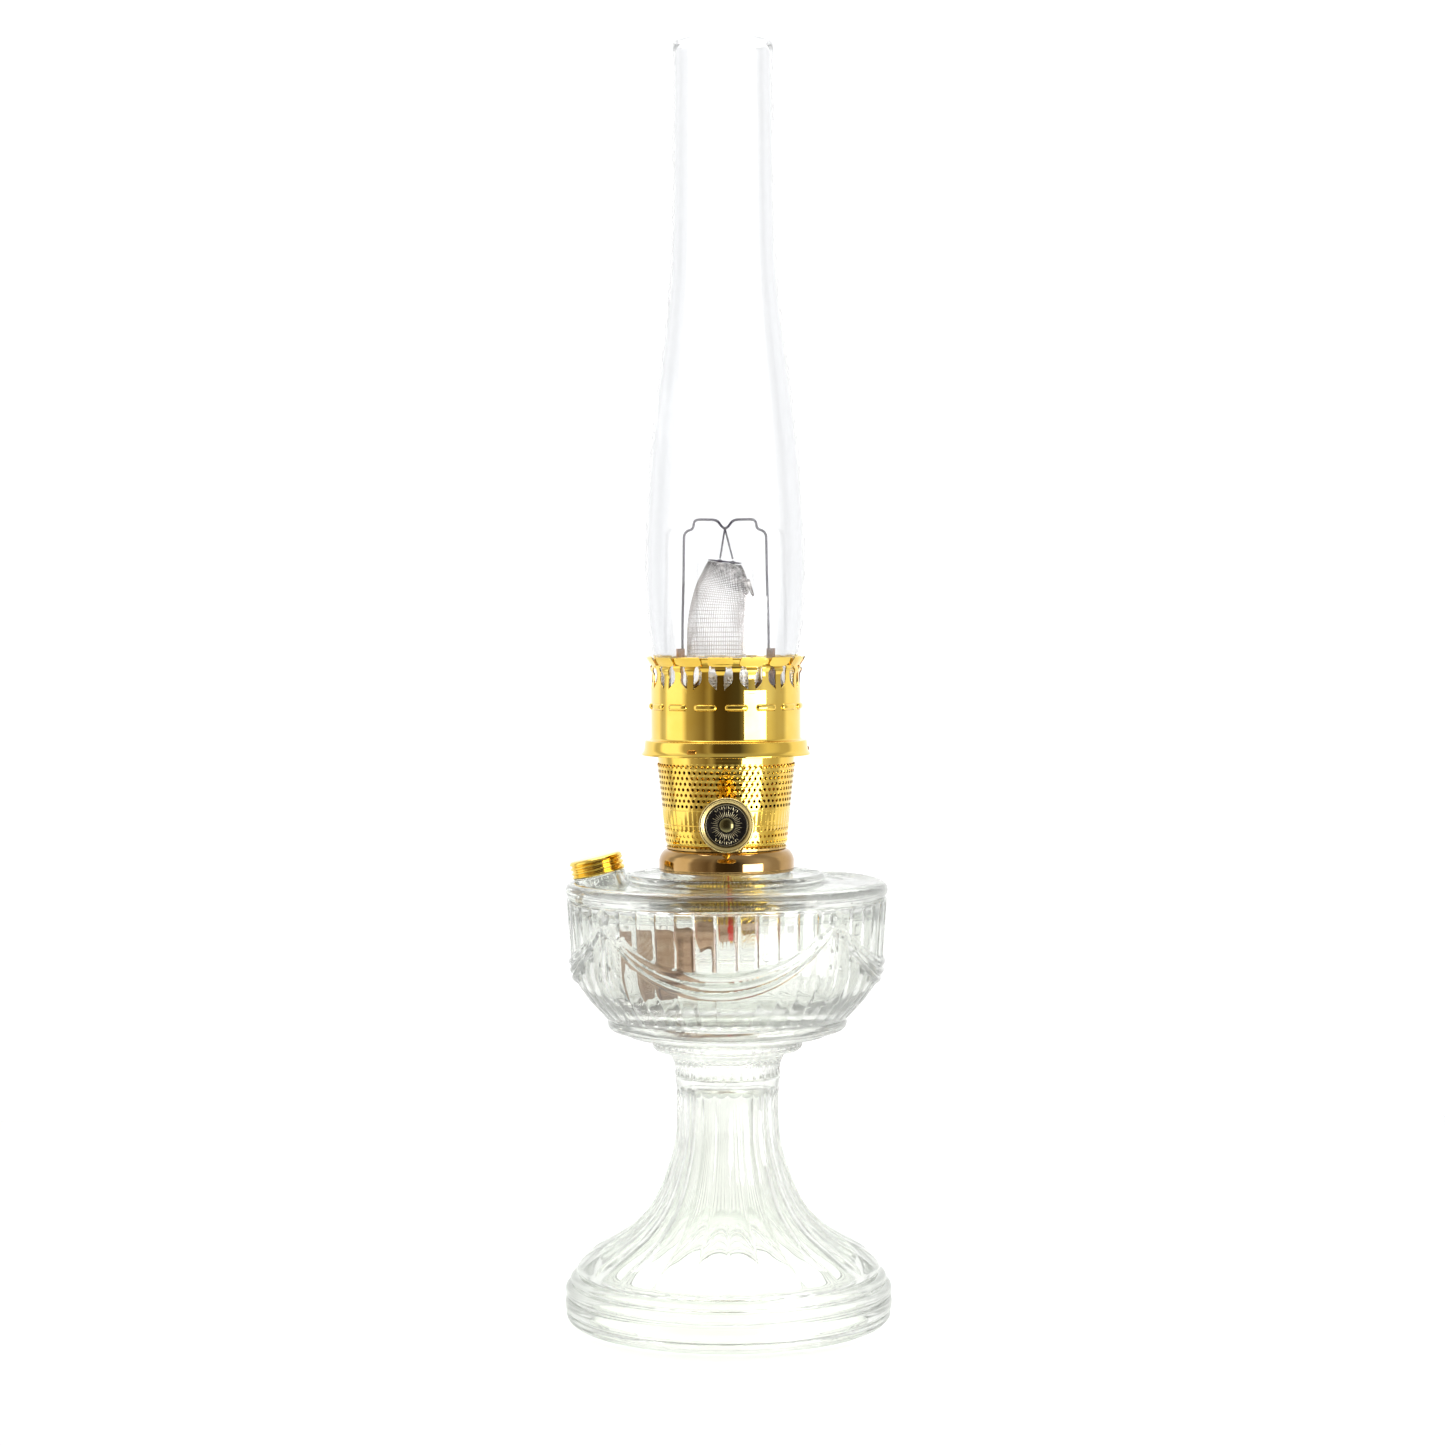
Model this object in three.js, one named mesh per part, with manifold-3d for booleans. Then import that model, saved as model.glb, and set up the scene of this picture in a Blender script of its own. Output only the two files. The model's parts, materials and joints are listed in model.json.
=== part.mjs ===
// A table oil lamp of the round-wick mantle kind: a pressed glass pedestal and oil font, a screw-in brass
// burner with a geared wick raiser, a bayonet gallery, a hung mantle and a tall heel-less glass chimney.
// Millimetres, +Z up, origin on the table under the lamp's axis. The wick knob faces -Y, the filler cap -X.
import * as THREE from "three";
import { mergeVertices } from "three/addons/utils/BufferGeometryUtils.js";
import Module from "manifold-3d";

const wasm = await Module();
wasm.setup();

// ---- driving dimensions ----
const GAP = 0.3; // left between pieces that touch
const SHEET = 0.8; // brass sheet
const FOOT = { radius: 79.6, rest: 74.5 };
const JOINT_Z = 120; // plane where the font is bonded to the pedestal
const NECK = { inner: 25.5, outer: 28.5, top: 224 }; // the font's glass mouth
const COLLAR = { outer: 32.8, thread: 28.6, bottom: 218.7, top: 229.7 };
const CAP = { radius: 13.1, height: 8.6, wall: 0.8 };
const FILLER = { foot: new THREE.Vector3(-61, 0, 213), tilt: 12.9, neck: 11.5, bore: 8.6, seat: 4.6 };
const BASKET = { bottom: 231.2, bottomRadius: 28.9, coneTop: 272, topRadius: 33.2, top: 281.6 };
const INNER_TUBE = { inner: 14, outer: 14.8, bottom: 224, top: 304 };
const WICK = { inner: 15.1, outer: 16.2, bottom: 240, top: 303, slitTop: 246 };
const CARRIER = { inner: 16.5, outer: 17, bottom: 238, top: 262 };
const OUTER_TUBE = { inner: 17.4, outer: 18.2, bottom: 226, top: 306 };
const KNOB = { z: 244.7, radius: 12.9, front: -59, depth: 5 };
const GEAR = { teeth: 10, module: 0.75, pressureAngle: 25, addendum: 0.6, dedendum: 0.85, slack: 0.1 };
const GALLERY = { radius: 36.3, bottom: 275, step: 282.5, rim: 306, tip: 322.5, skirt: 41 };
const PETALS = 15;
const PETAL_ANGLE = -4; // the petal nearest the front, measured from -Y towards +X
const FINGER_ANGLE = PETAL_ANGLE + 180 / PETALS;
const DECK = { inner: 24.6, outer: 35.1, top: 300.2 }; // the shelf that the chimney stands on
const LUGS = 3;
const LUG_ANGLE = -24.5;
const CHIMNEY = { base: 33.35, wall: 2, bottom: 300.5, top: 617.8 };
const BAIL = { wire: 0.7, foot: 21, shoulder: 19.9, top: 388.4, bottom: 305.4 };
const SOCK = { hem: 318.5, wall: 0.9 };

// ---- materials ----
const finish = (color, roughness, metalness) => new THREE.MeshStandardMaterial({ color, roughness, metalness });
const glass = new THREE.MeshStandardMaterial({
  color: 0xeef4ee,
  roughness: 0.05,
  metalness: 0,
  transparent: true,
  opacity: 0.35,
});
const brass = finish(0xd6ae3a, 0.2, 1);
const redBrass = finish(0xc79a5a, 0.18, 1);
const steel = finish(0x4a4550, 0.4, 1);
const copper = finish(0xa8734f, 0.35, 1);
const enamel = finish(0x0b0b0d, 0.15, 0);
const cotton = finish(0xcdb092, 0.95, 0);
const gauze = finish(0xe4dfd8, 0.95, 0);
const plaster = finish(0xdcd6c8, 0.9, 0);
const cork = finish(0xb48a5a, 0.9, 0);

// ---- solids ----
const rad = THREE.MathUtils.degToRad;

function signedVolume(geometry) {
  const p = geometry.attributes.position;
  const index = geometry.index.array;
  const [a, b, c] = [new THREE.Vector3(), new THREE.Vector3(), new THREE.Vector3()];
  let sum = 0;
  for (let i = 0; i < index.length; i += 3) {
    a.fromBufferAttribute(p, index[i]);
    b.fromBufferAttribute(p, index[i + 1]);
    c.fromBufferAttribute(p, index[i + 2]);
    sum += a.dot(b.cross(c)) / 6;
  }
  return sum;
}

// One closed surface: shared vertices merged, collapsed triangles dropped, faces pointing out.
function closed(geometry) {
  const bare = geometry.clone();
  bare.deleteAttribute("normal");
  bare.deleteAttribute("uv");
  const merged = mergeVertices(bare, 1e-4);
  const kept = [];
  const source = merged.index.array;
  for (let i = 0; i < source.length; i += 3) {
    const [a, b, c] = source.subarray(i, i + 3);
    if (a !== b && b !== c && c !== a) kept.push(a, b, c);
  }
  merged.setIndex(kept);
  if (signedVolume(merged) < 0) merged.setIndex(kept.reverse());
  return merged;
}

function solid(geometry) {
  const g = closed(geometry);
  const triVerts = new Uint32Array(g.index.array);
  return new wasm.Manifold(new wasm.Mesh({ numProp: 3, vertProperties: g.attributes.position.array, triVerts }));
}

function surface(manifold) {
  const { vertProperties, numProp, triVerts } = manifold.getMesh();
  const points = new Float32Array((vertProperties.length / numProp) * 3);
  for (let i = 0; i * 3 < points.length; i++) {
    points.set(vertProperties.subarray(i * numProp, i * numProp + 3), i * 3);
  }
  const g = new THREE.BufferGeometry();
  g.setAttribute("position", new THREE.BufferAttribute(points, 3));
  g.setIndex(new THREE.BufferAttribute(triVerts, 1));
  g.computeVertexNormals();
  return g;
}

const join = (...geometries) => surface(geometries.map(solid).reduce((a, b) => a.add(b)));
const cut = (geometry, ...tools) => surface(tools.map(solid).reduce((a, b) => a.subtract(b), solid(geometry)));

// A body turned about Z from [radius, height] points. It starts and ends on the axis, or closes on itself.
function lathe(profile, segments = 24) {
  const points = profile.map(([r, z]) => new THREE.Vector2(r, z));
  const onAxis = profile[0][0] === 0 && profile.at(-1)[0] === 0;
  if (!onAxis) points.push(points[0].clone());
  return closed(new THREE.LatheGeometry(points, segments).rotateX(Math.PI / 2));
}

function ring(inner, outer, low, high, segments = 24) {
  return lathe([[inner, low], [outer, low], [outer, high], [inner, high]], segments);
}

function block(x0, x1, y0, y1, z0, z1) {
  const g = new THREE.BoxGeometry(x1 - x0, y1 - y0, z1 - z0);
  return g.translate((x0 + x1) / 2, (y0 + y1) / 2, (z0 + z1) / 2);
}

// A bar along Y from y0 to y1.
function rod(radius, y0, y1, x, z, sides = 16) {
  return new THREE.CylinderGeometry(radius, radius, y1 - y0, sides).translate(x, (y0 + y1) / 2, z);
}

// The same piece set round the axis, the first one at `first` degrees from -Y towards +X.
function around(geometry, count, first = 0) {
  return Array.from({ length: count }, (_, i) => geometry.clone().rotateZ(rad(first + (i * 360) / count)));
}

// A closed body from loops of points, each loop with the same number of them, capped at both ends.
function loft(loops) {
  const n = loops[0].length;
  const points = loops.flat();
  const faces = [];
  for (let k = 0; k + 1 < loops.length; k++) {
    for (let i = 0; i < n; i++) {
      const [a, b] = [k * n + i, k * n + ((i + 1) % n)];
      faces.push(a, b, b + n, a, b + n, a + n);
    }
  }
  for (const [k, flip] of [[0, true], [loops.length - 1, false]]) {
    const centre = loops[k].reduce((sum, p) => sum.add(p), new THREE.Vector3()).divideScalar(n);
    points.push(centre);
    for (let i = 0; i < n; i++) {
      const [a, b] = [k * n + i, k * n + ((i + 1) % n)];
      faces.push(points.length - 1, ...(flip ? [b, a] : [a, b]));
    }
  }
  const g = new THREE.BufferGeometry().setFromPoints(points);
  return closed(g.setIndex(faces));
}

// A sheet of even thickness: rows of points on one face, and the matching rows on the other face.
function sheet(front, back) {
  const [rows, columns] = [front.length, front[0].length];
  const points = [...front.flat(), ...back.flat()];
  const faces = [];
  const at = (side, i, j) => side * rows * columns + i * columns + j;
  const quad = (a, b, c, d) => faces.push(a, b, c, a, c, d);
  for (let i = 0; i + 1 < rows; i++) {
    for (let j = 0; j + 1 < columns; j++) {
      quad(at(0, i, j), at(0, i, j + 1), at(0, i + 1, j + 1), at(0, i + 1, j));
      quad(at(1, i, j), at(1, i + 1, j), at(1, i + 1, j + 1), at(1, i, j + 1));
    }
    const last = columns - 1;
    quad(at(0, i, 0), at(0, i + 1, 0), at(1, i + 1, 0), at(1, i, 0));
    quad(at(0, i, last), at(1, i, last), at(1, i + 1, last), at(0, i + 1, last));
  }
  for (let j = 0; j + 1 < columns; j++) {
    const last = rows - 1;
    quad(at(0, 0, j), at(1, 0, j), at(1, 0, j + 1), at(0, 0, j + 1));
    quad(at(0, last, j), at(0, last, j + 1), at(1, last, j + 1), at(1, last, j));
  }
  return closed(new THREE.BufferGeometry().setFromPoints(points).setIndex(faces));
}

// A round wire along a curve.
function wire(curve, radius, steps, sides = 8) {
  const points = Array.from({ length: sides }, (_, i) => {
    const a = (2 * Math.PI * i) / sides;
    return new THREE.Vector2(radius * Math.cos(a), radius * Math.sin(a));
  });
  const section = new THREE.Shape(points);
  return closed(new THREE.ExtrudeGeometry(section, { steps, extrudePath: curve, bevelEnabled: false }));
}

// A point at an angle from -Y towards +X.
function polar(radius, degrees, z) {
  return new THREE.Vector3(radius * Math.sin(rad(degrees)), -radius * Math.cos(rad(degrees)), z);
}

const root = new THREE.Group();
function place(name, geometry, material, parent = root) {
  const mesh = new THREE.Mesh(geometry, material);
  mesh.name = name;
  parent.add(mesh);
}

// ---- glass pedestal: a fluted stem that flares into a foot with three stacked beads, hollow underneath ----
function pedestal() {
  const stem = [
    [25.7, JOINT_Z - GAP], [24.8, 112], [24.7, 98], [26.6, 83], [31.1, 69], [35.4, 59.2], [42.2, 49.5],
    [52.5, 40.5], [64, 32.3], [70.4, 24.6], [71.2, 23],
  ];
  const beads = [
    [75.2, 21.8], [78.6, 17.6], [79.1, 14.6], [78.2, 12.4], [FOOT.radius, 9.6], [79.4, 5.4], [76.4, 1.2], [FOOT.rest, 0],
  ];
  const hollow = [
    [67, 0], [66, 9], [63.5, 17], [52, 29.5], [38, 43], [27.6, 60], [21.5, 79], [18.6, 102], [17.4, 111], [13.4, 114.8],
  ];
  return lathe([[0, JOINT_Z - GAP], ...stem, ...beads, ...hollow, [0, 115.8]]);
}

// ---- glass font: a ribbed bowl with a mouth for the burner and a tilted filler neck ----
function fillerPiece(profile, segments = 20) {
  return lathe(profile, segments).rotateY(-rad(FILLER.tilt)).translate(...FILLER.foot);
}

function font() {
  const foot = [[25.7, JOINT_Z], [26.5, 127], [35.4, 132.6], [36.2, 135.6], [34, 138.3], [44, 139.6]];
  const side = [[54.5, 143.4], [61, 147.6], [69.6, 160.3], [75.2, 170], [77, 188], [78, 205.4]];
  const shoulder = [
    [78.2, 208.6], [75, 212.9], [71, 213.9], [62, 212.6], [56, 213.2], [46, 216.4], [33, 217.4],
    [NECK.outer, 219.2], [NECK.outer, NECK.top],
  ];
  const inside = [
    [NECK.inner, NECK.top], [NECK.inner, 213], [34, 210.2], [60, 207.6], [70, 205], [73.2, 196],
    [72.2, 176], [66, 163], [56, 154.6], [40, 151],
  ];
  const bowl = lathe([[0, JOINT_Z], ...foot, ...side, ...shoulder, ...inside, [0, 149.8]]);
  const neckTop = FILLER.seat + 6.1;
  const boss = fillerPiece([
    [0, -5], [14.5, -5], [14.2, 0.5], [12.9, 2.4], [12.9, 3.9], [FILLER.neck, 4.2], [FILLER.neck, neckTop], [0, neckTop],
  ]);
  const bore = fillerPiece([[0, -9], [FILLER.bore, -9], [FILLER.bore, 14], [0, 14]]);
  return cut(join(bowl, boss), bore);
}

place("glass_pedestal", pedestal(), glass);
place("glass_font", font(), glass);

// ---- collar: a brass ring set on the font's mouth in plaster ----
place("collar_plaster", ring(NECK.outer + GAP, 30.9, 219.6, NECK.top + GAP, 24), plaster);
place(
  "font_collar",
  lathe([
    [31.2, COLLAR.bottom], [COLLAR.outer, COLLAR.bottom], [COLLAR.outer, 224.8], [32.3, 227], [31, 228.9],
    [29.4, COLLAR.top], [COLLAR.thread, COLLAR.top], [COLLAR.thread, 224.6], [31.2, 224.6],
  ]),
  redBrass,
);

// ---- filler cap with its sealing disc ----
const capInside = FILLER.seat + CAP.height - CAP.wall;
place("cap_liner", fillerPiece([[0, capInside - 1.4], [11.9, capInside - 1.4], [11.9, capInside - GAP], [0, capInside - GAP]]), cork);
place(
  "filler_cap",
  fillerPiece([
    [0, capInside], [12.25, capInside], [12.25, FILLER.seat], [CAP.radius - 0.2, FILLER.seat],
    [CAP.radius, FILLER.seat + 1.4], [12.9, FILLER.seat + 2.7], [CAP.radius, FILLER.seat + 4],
    [12.9, FILLER.seat + 5.3], [CAP.radius, FILLER.seat + 6.6], [12.6, capInside + CAP.wall], [0, capInside + CAP.wall],
  ]),
  brass,
);

// ---- burner body ----
place(
  "burner_thread_ring",
  lathe([
    [25.9, NECK.top + 0.4], [28.2, NECK.top + 0.4], [28.2, COLLAR.top + GAP], [29.2, COLLAR.top + GAP],
    [29.2, BASKET.bottom - GAP], [25.9, BASKET.bottom - GAP],
  ]),
  brass,
);

function basket() {
  const { bottom, bottomRadius, coneTop, topRadius, top } = BASKET;
  const shell = lathe([
    [27, bottom], [28.5, bottom], [bottomRadius, bottom + 2], [topRadius, coneTop], [33.6, 274.5], [33.6, top],
    [33.6 - SHEET, top], [33.6 - SHEET, 274.6], [topRadius - SHEET, coneTop], [bottomRadius - SHEET, bottom + 2.2],
    [27.7, bottom + SHEET], [27, bottom + SHEET],
  ]);
  const lug = block(-4, 4, -37.6, -33.2, 277.6, 279);
  return cut(join(shell, ...around(lug, LUGS, LUG_ANGLE)), rod(3.6, -36, -24, 0, KNOB.z));
}
place("burner_basket", basket(), brass);

// The rack slides beside the pinion, so the tube and the floor are notched for it.
const pitchRadius = (GEAR.teeth * GEAR.module) / 2;
const rackBack = -pitchRadius - GEAR.dedendum - 1.7;
const rackTip = -pitchRadius + GEAR.addendum;
place(
  "burner_floor",
  cut(ring(OUTER_TUBE.outer + GAP, 27.2, 232.3, 233.5), block(rackBack - 0.5, rackTip + 0.5, -24, -17, 231, 235)),
  brass,
);

const DUCT = { half: 4, low: 234, high: 242, wall: 0.7, from: 15.2, to: 20 };
const ductSlot = (margin, x0, x1) =>
  [-1, 1].map((side) =>
    block(...(side < 0 ? [-x1, -x0] : [x0, x1]), -DUCT.half - margin, DUCT.half + margin, DUCT.low - margin, DUCT.high + margin),
  );
place(
  "outer_wick_tube",
  cut(
    ring(OUTER_TUBE.inner, OUTER_TUBE.outer, OUTER_TUBE.bottom, OUTER_TUBE.top),
    block(rackBack - 0.5, rackTip + 0.5, -20, -15, OUTER_TUBE.bottom - 1, 266),
    ...ductSlot(0.4, 15, 20),
  ),
  brass,
);
place(
  "draft_tube",
  cut(
    lathe([
      [0, INNER_TUBE.bottom], [INNER_TUBE.outer, INNER_TUBE.bottom], [INNER_TUBE.outer, INNER_TUBE.top],
      [INNER_TUBE.inner, INNER_TUBE.top], [INNER_TUBE.inner, INNER_TUBE.bottom + SHEET], [0, INNER_TUBE.bottom + SHEET],
    ]),
    ...ductSlot(-DUCT.wall, 12, 16),
  ),
  brass,
);
function duct(side) {
  const [x0, x1] = side < 0 ? [-DUCT.to, -DUCT.from] : [DUCT.from, DUCT.to];
  const { half, low, high, wall } = DUCT;
  return cut(
    block(x0, x1, -half, half, low, high),
    block(x0 - 1, x1 + 1, -half + wall, half - wall, low + wall, high - wall),
  );
}
place("air_duct_left", duct(-1), brass);
place("air_duct_right", duct(1), brass);

place(
  "burner_cone",
  lathe([
    [31.4, 277], [32.4, 277], [32.4, 278.2], [21.8, 298], [20.6, 298.6], [20.4, 297.8], [21, 297.4], [31.4, 278],
  ]),
  brass,
);
place(
  "flame_spreader",
  lathe([
    [0, 315.8], [9, 315.8], [12.4, 313.8], [13, 304.6], [13, 296], [13.7, 296], [13.7, 304.2], [14.6, 304.4],
    [14.6, 305.2], [13.8, 305.4], [13.1, 314.4], [9.2, 316.6], [0, 316.6],
  ], 20),
  brass,
);

// ---- wick raiser: knob, spindle and pinion turning in a bush, a rack on the wick carrier ----
// One gear tooth space after another round the pinion: an involute flank up, the tip, and a flank down.
function pinion() {
  const base = pitchRadius * Math.cos(rad(GEAR.pressureAngle));
  const tip = pitchRadius + GEAR.addendum;
  const rootRadius = pitchRadius - GEAR.dedendum;
  const involute = (r) => {
    const a = Math.acos(Math.min(1, base / r));
    return Math.tan(a) - a;
  };
  const halfTooth = Math.PI / 2 / GEAR.teeth - GEAR.slack / pitchRadius + involute(pitchRadius);
  const flank = [base, (base + tip) / 2, tip].map((r) => [r, halfTooth - involute(r)]);
  const points = [];
  for (let i = 0; i < GEAR.teeth; i++) {
    const middle = ((i + 0.5) * 2 * Math.PI) / GEAR.teeth;
    const tooth = [[rootRadius, -halfTooth * 0.95], ...flank.map(([r, a]) => [r, -a])];
    tooth.push(...flank.toReversed(), [rootRadius, halfTooth * 0.95]);
    points.push(...tooth.map(([r, a]) => new THREE.Vector2(r * Math.cos(middle + a), r * Math.sin(middle + a))));
  }
  const width = 3.4;
  const gear = new THREE.ExtrudeGeometry(new THREE.Shape(points), { depth: width, bevelEnabled: false });
  gear.rotateX(Math.PI / 2).translate(0, -19.2, KNOB.z);
  return cut(gear, rod(1.5 + GAP, -30, -10, 0, KNOB.z, 12));
}
place("raiser_pinion", pinion(), brass);
place("knob_spindle", rod(1.5, -55, -18.9, 0, KNOB.z, 14), brass);
place("spindle_bush", cut(rod(3.2, -40, -25, 0, KNOB.z, 18), rod(1.8, -41, -24, 0, KNOB.z, 14)), brass);

const faceDown = (geometry) => geometry.rotateX(Math.PI / 2).translate(0, 0, KNOB.z);
const knobBack = -(KNOB.front + KNOB.depth);
place(
  "knob_rim",
  faceDown(lathe([
    [1.8, knobBack - 3.4], [4, knobBack - 3.4], [4, knobBack], [11.4, knobBack], [12.3, knobBack + 0.8],
    [KNOB.radius, knobBack + 2.6], [12.5, knobBack + 4.4], [11.2, -KNOB.front], [10.2, -KNOB.front - 0.6],
    [10.2, -KNOB.front - 1.8], [1.8, -KNOB.front - 1.8],
  ], 20)),
  brass,
);
const enamelFront = -KNOB.front - 0.7;
place("knob_disc", faceDown(ring(1.8, 9.9, enamelFront - 0.8, enamelFront, 20)), enamel);
place(
  "knob_button",
  faceDown(lathe([[0, enamelFront + GAP], [3.4, enamelFront + GAP], [3.2, enamelFront + 1.1], [0, enamelFront + 1.6]], 16)),
  brass,
);

function carrier() {
  const pitch = Math.PI * GEAR.module;
  const slope = Math.tan(rad(GEAR.pressureAngle));
  const [low, high] = [227.5, 248.5];
  const [rootX, tipX] = [-pitchRadius - GEAR.dedendum, -pitchRadius + GEAR.addendum];
  const outline = [[rackBack, high], [rackBack, low], [rootX, low]];
  const widthAt = (x) => pitch / 4 - GEAR.slack - (x + pitchRadius) * slope;
  for (let k = Math.ceil((low - KNOB.z) / pitch + 0.5); KNOB.z + (k + 0.5) * pitch < high; k++) {
    const z = KNOB.z + k * pitch;
    const [atRoot, atTip] = [widthAt(rootX), widthAt(tipX)];
    outline.push([rootX, z - atRoot], [tipX, z - atTip], [tipX, z + atTip], [rootX, z + atRoot]);
  }
  outline.push([rootX, high]);
  const shape = new THREE.Shape(outline.map(([x, z]) => new THREE.Vector2(x, z)));
  const rack = new THREE.ExtrudeGeometry(shape, { depth: 7, bevelEnabled: false });
  rack.rotateX(Math.PI / 2).translate(0, -16, 0);
  const bore = ring(1, CARRIER.inner, low - 1, high + 1);
  const sleeve = ring(CARRIER.inner, CARRIER.outer, CARRIER.bottom, CARRIER.top);
  const slits = [-1, 1].map((side) => block(side < 0 ? -20 : 12, side < 0 ? -12 : 20, -4.8, 4.8, 237, WICK.slitTop));
  return cut(join(sleeve, cut(rack, bore)), ...slits);
}
place("wick_carrier", carrier(), brass);

// ---- wick: a woven tube, slit at the air ducts, with two flat tails that hang in the font ----
place(
  "wick",
  cut(
    ring(WICK.inner, WICK.outer, WICK.bottom, WICK.top),
    block(-20, -12, -4.8, 4.8, WICK.bottom - 1, WICK.slitTop),
    block(12, 20, -4.8, 4.8, WICK.bottom - 1, WICK.slitTop),
  ),
  cotton,
);
// Each station of a tail: height, centre x, distance from the axis, half width and bow.
function tail(side, stations) {
  const columns = 9;
  const middle = (WICK.inner + WICK.outer) / 2;
  const thickness = WICK.outer - WICK.inner;
  const face = (offset) =>
    stations.map(([z, x, y, half, bow]) =>
      Array.from({ length: columns }, (_, j) => {
        const u = (2 * j) / (columns - 1) - 1;
        const depth = y - bow * u * u;
        return new THREE.Vector3(x + u * half, -side * (depth + offset), z);
      }),
    );
  const arcs = (offset) =>
    [WICK.bottom - GAP, 216.2].map((z) =>
      Array.from({ length: columns }, (_, j) => polar(middle + offset, (side > 0 ? 0 : 180) + side * 58 * ((2 * j) / (columns - 1) - 1), z)),
    );
  const rows = (offset) => [...arcs(offset), ...face(offset)];
  return sheet(rows(thickness / 2), rows(-thickness / 2));
}
place(
  "wick_tail_front",
  tail(1, [
    [210, -2.2, 16.6, 14.4, 4], [200.2, -3, 17, 16.5, 4], [197, -9, 19, 21, 4], [195, -21, 23, 27, 5],
    [190, -22.5, 25, 26.5, 5], [184, -31, 27, 18, 4], [172, -30, 28, 17, 4], [157, -32, 29, 8, 2],
  ]),
  cotton,
);
place(
  "wick_tail_back",
  tail(-1, [
    [210, 2.2, 16.6, 14.4, 4], [200.2, 1, 17, 16.5, 4], [195, -3, 20, 18, 4], [188, -12, 25, 15, 4],
    [180, -20, 29, 9, 3], [162, -22, 31, 8, 2],
  ]),
  cotton,
);

// ---- gallery: a brass crown that turns onto the basket's lugs; its fingers grip the chimney ----
// A tongue of sheet from stations of height, radius and half angle.
function tongue(degrees, stations) {
  const face = (offset) =>
    stations.map(([z, r, half]) => [-1, 1].map((u) => polar(r + offset, degrees + u * half, z)));
  return sheet(face(0), face(-SHEET));
}
function gallery() {
  const { radius, bottom, step, rim, skirt } = GALLERY;
  const wall = lathe([
    [radius, rim], [radius, step + 1], [37, step + 0.4], [39, step], [39.5, step - 0.8], [skirt, bottom + 0.6],
    [skirt - 0.3, bottom], [skirt - 1.1, bottom], [38.7, step - 1], [radius - SHEET, step - 0.4], [radius - SHEET, rim],
  ], 24);
  const petal = [[303, 36.2, 3.4], [312, 36.2, 4], [316.6, 36.5, 7.4], [319.6, 37.2, 8.4], [GALLERY.tip, 38.7, 7.6]];
  const finger = [[303, 36.2, 5], [306.5, 36.2, 7.6], [309.5, 36, 3.4], [318, 35.2, 3.4], [322, 36, 3.4]];
  const tongues = [];
  for (let i = 0; i < PETALS; i++) {
    const turn = (i * 360) / PETALS;
    tongues.push(tongue(PETAL_ANGLE + turn, petal), tongue(FINGER_ANGLE + turn, finger));
  }
  const louvre = block(-4, 4, -38, -34, 297.4, 299.2);
  const dimple = block(-2.4, 2.4, -39.4, -36.4, 275.8, 277.2);
  return cut(join(wall, ...tongues, ...around(dimple, LUGS, LUG_ANGLE)), ...around(louvre, PETALS, FINGER_ANGLE));
}
place("gallery", gallery(), brass);

function deck() {
  const { inner, outer, top } = DECK;
  const plate = lathe([
    [inner, top - 1.2], [outer, top - 1.2], [outer, top], [inner + SHEET, top], [inner + SHEET, 303], [inner, 303],
  ]);
  const hook = join(block(-2.5, 2.5, -28, -27.2, top - 0.6, 306.4), block(-2.5, 2.5, -28, -25.8, 305.4, 306.4));
  return join(plate, ...around(hook, LUGS, 90));
}
place("chimney_seat", deck(), brass);

// ---- mantle: a ring with bayonet lugs, a wire bail, a forked hanger and a gauze sock ----
function mantleRing() {
  const band = ring(22.4, 24, 301, 305.2, 20);
  const lug = block(-2.2, 2.2, -26.4, -23.2, 303.4, 304.8);
  return join(band, ...around(lug, LUGS, 90));
}
const mantleTurned = new THREE.Group();
place("mantle_ring", mantleRing(), steel, mantleTurned);
for (const [name, side] of [["bail_socket_left", -1], ["bail_socket_right", 1]]) {
  const cheek = block(19.8, 23.8, 1.1, 1.9, 317.6, 326.6);
  const whole = join(block(23.3, 24.1, -1.9, 1.9, 305.6, 326.6), cheek, cheek.clone().translate(0, -3, 0));
  place(name, side < 0 ? whole.rotateZ(Math.PI) : whole, copper, mantleTurned);
}

// Half of the bail from the foot up to the dip in the middle, mirrored to make the whole.
function bail() {
  const { foot, shoulder, top } = BAIL;
  const half = [
    [foot, 318], [20.6, 340], [20.1, 362], [shoulder, 378], [18.6, 382.2], [16.2, 384.2], [14.6, 386.9], [12.4, top],
    [9.5, top + 0.3], [4.6, top], [2, 385.8], [0, 384.6],
  ];
  const points = [...half, ...half.slice(0, -1).reverse().map(([x, z]) => [-x, z])];
  const curve = new THREE.CatmullRomCurve3(points.map(([x, z]) => new THREE.Vector3(x, 0, z)), false, "centripetal");
  return wire(curve, BAIL.wire, 44, 6);
}
place("mantle_bail", bail(), steel, mantleTurned);

const barTilt = rad(7.8);
const BAR = { half: 8.2, z: 368.6, x: -0.2 };
function hanger() {
  const legs = [[-2.5, 370], [-0.9, 378], [-0.5, 382.3], [0, 383], [0.5, 382.3], [1.6, 378], [3.7, 369.4]];
  const curve = new THREE.CatmullRomCurve3(legs.map(([x, z]) => new THREE.Vector3(x, 0, z)));
  return wire(curve, 0.45, 16, 5);
}
place("mantle_hanger", hanger(), steel, mantleTurned);
const barBlock = new THREE.BoxGeometry(2 * BAR.half, 2.4, 1).rotateY(barTilt).translate(BAR.x, 0, BAR.z - 0.2);
place("mantle_bar", barBlock, steel, mantleTurned);

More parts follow.
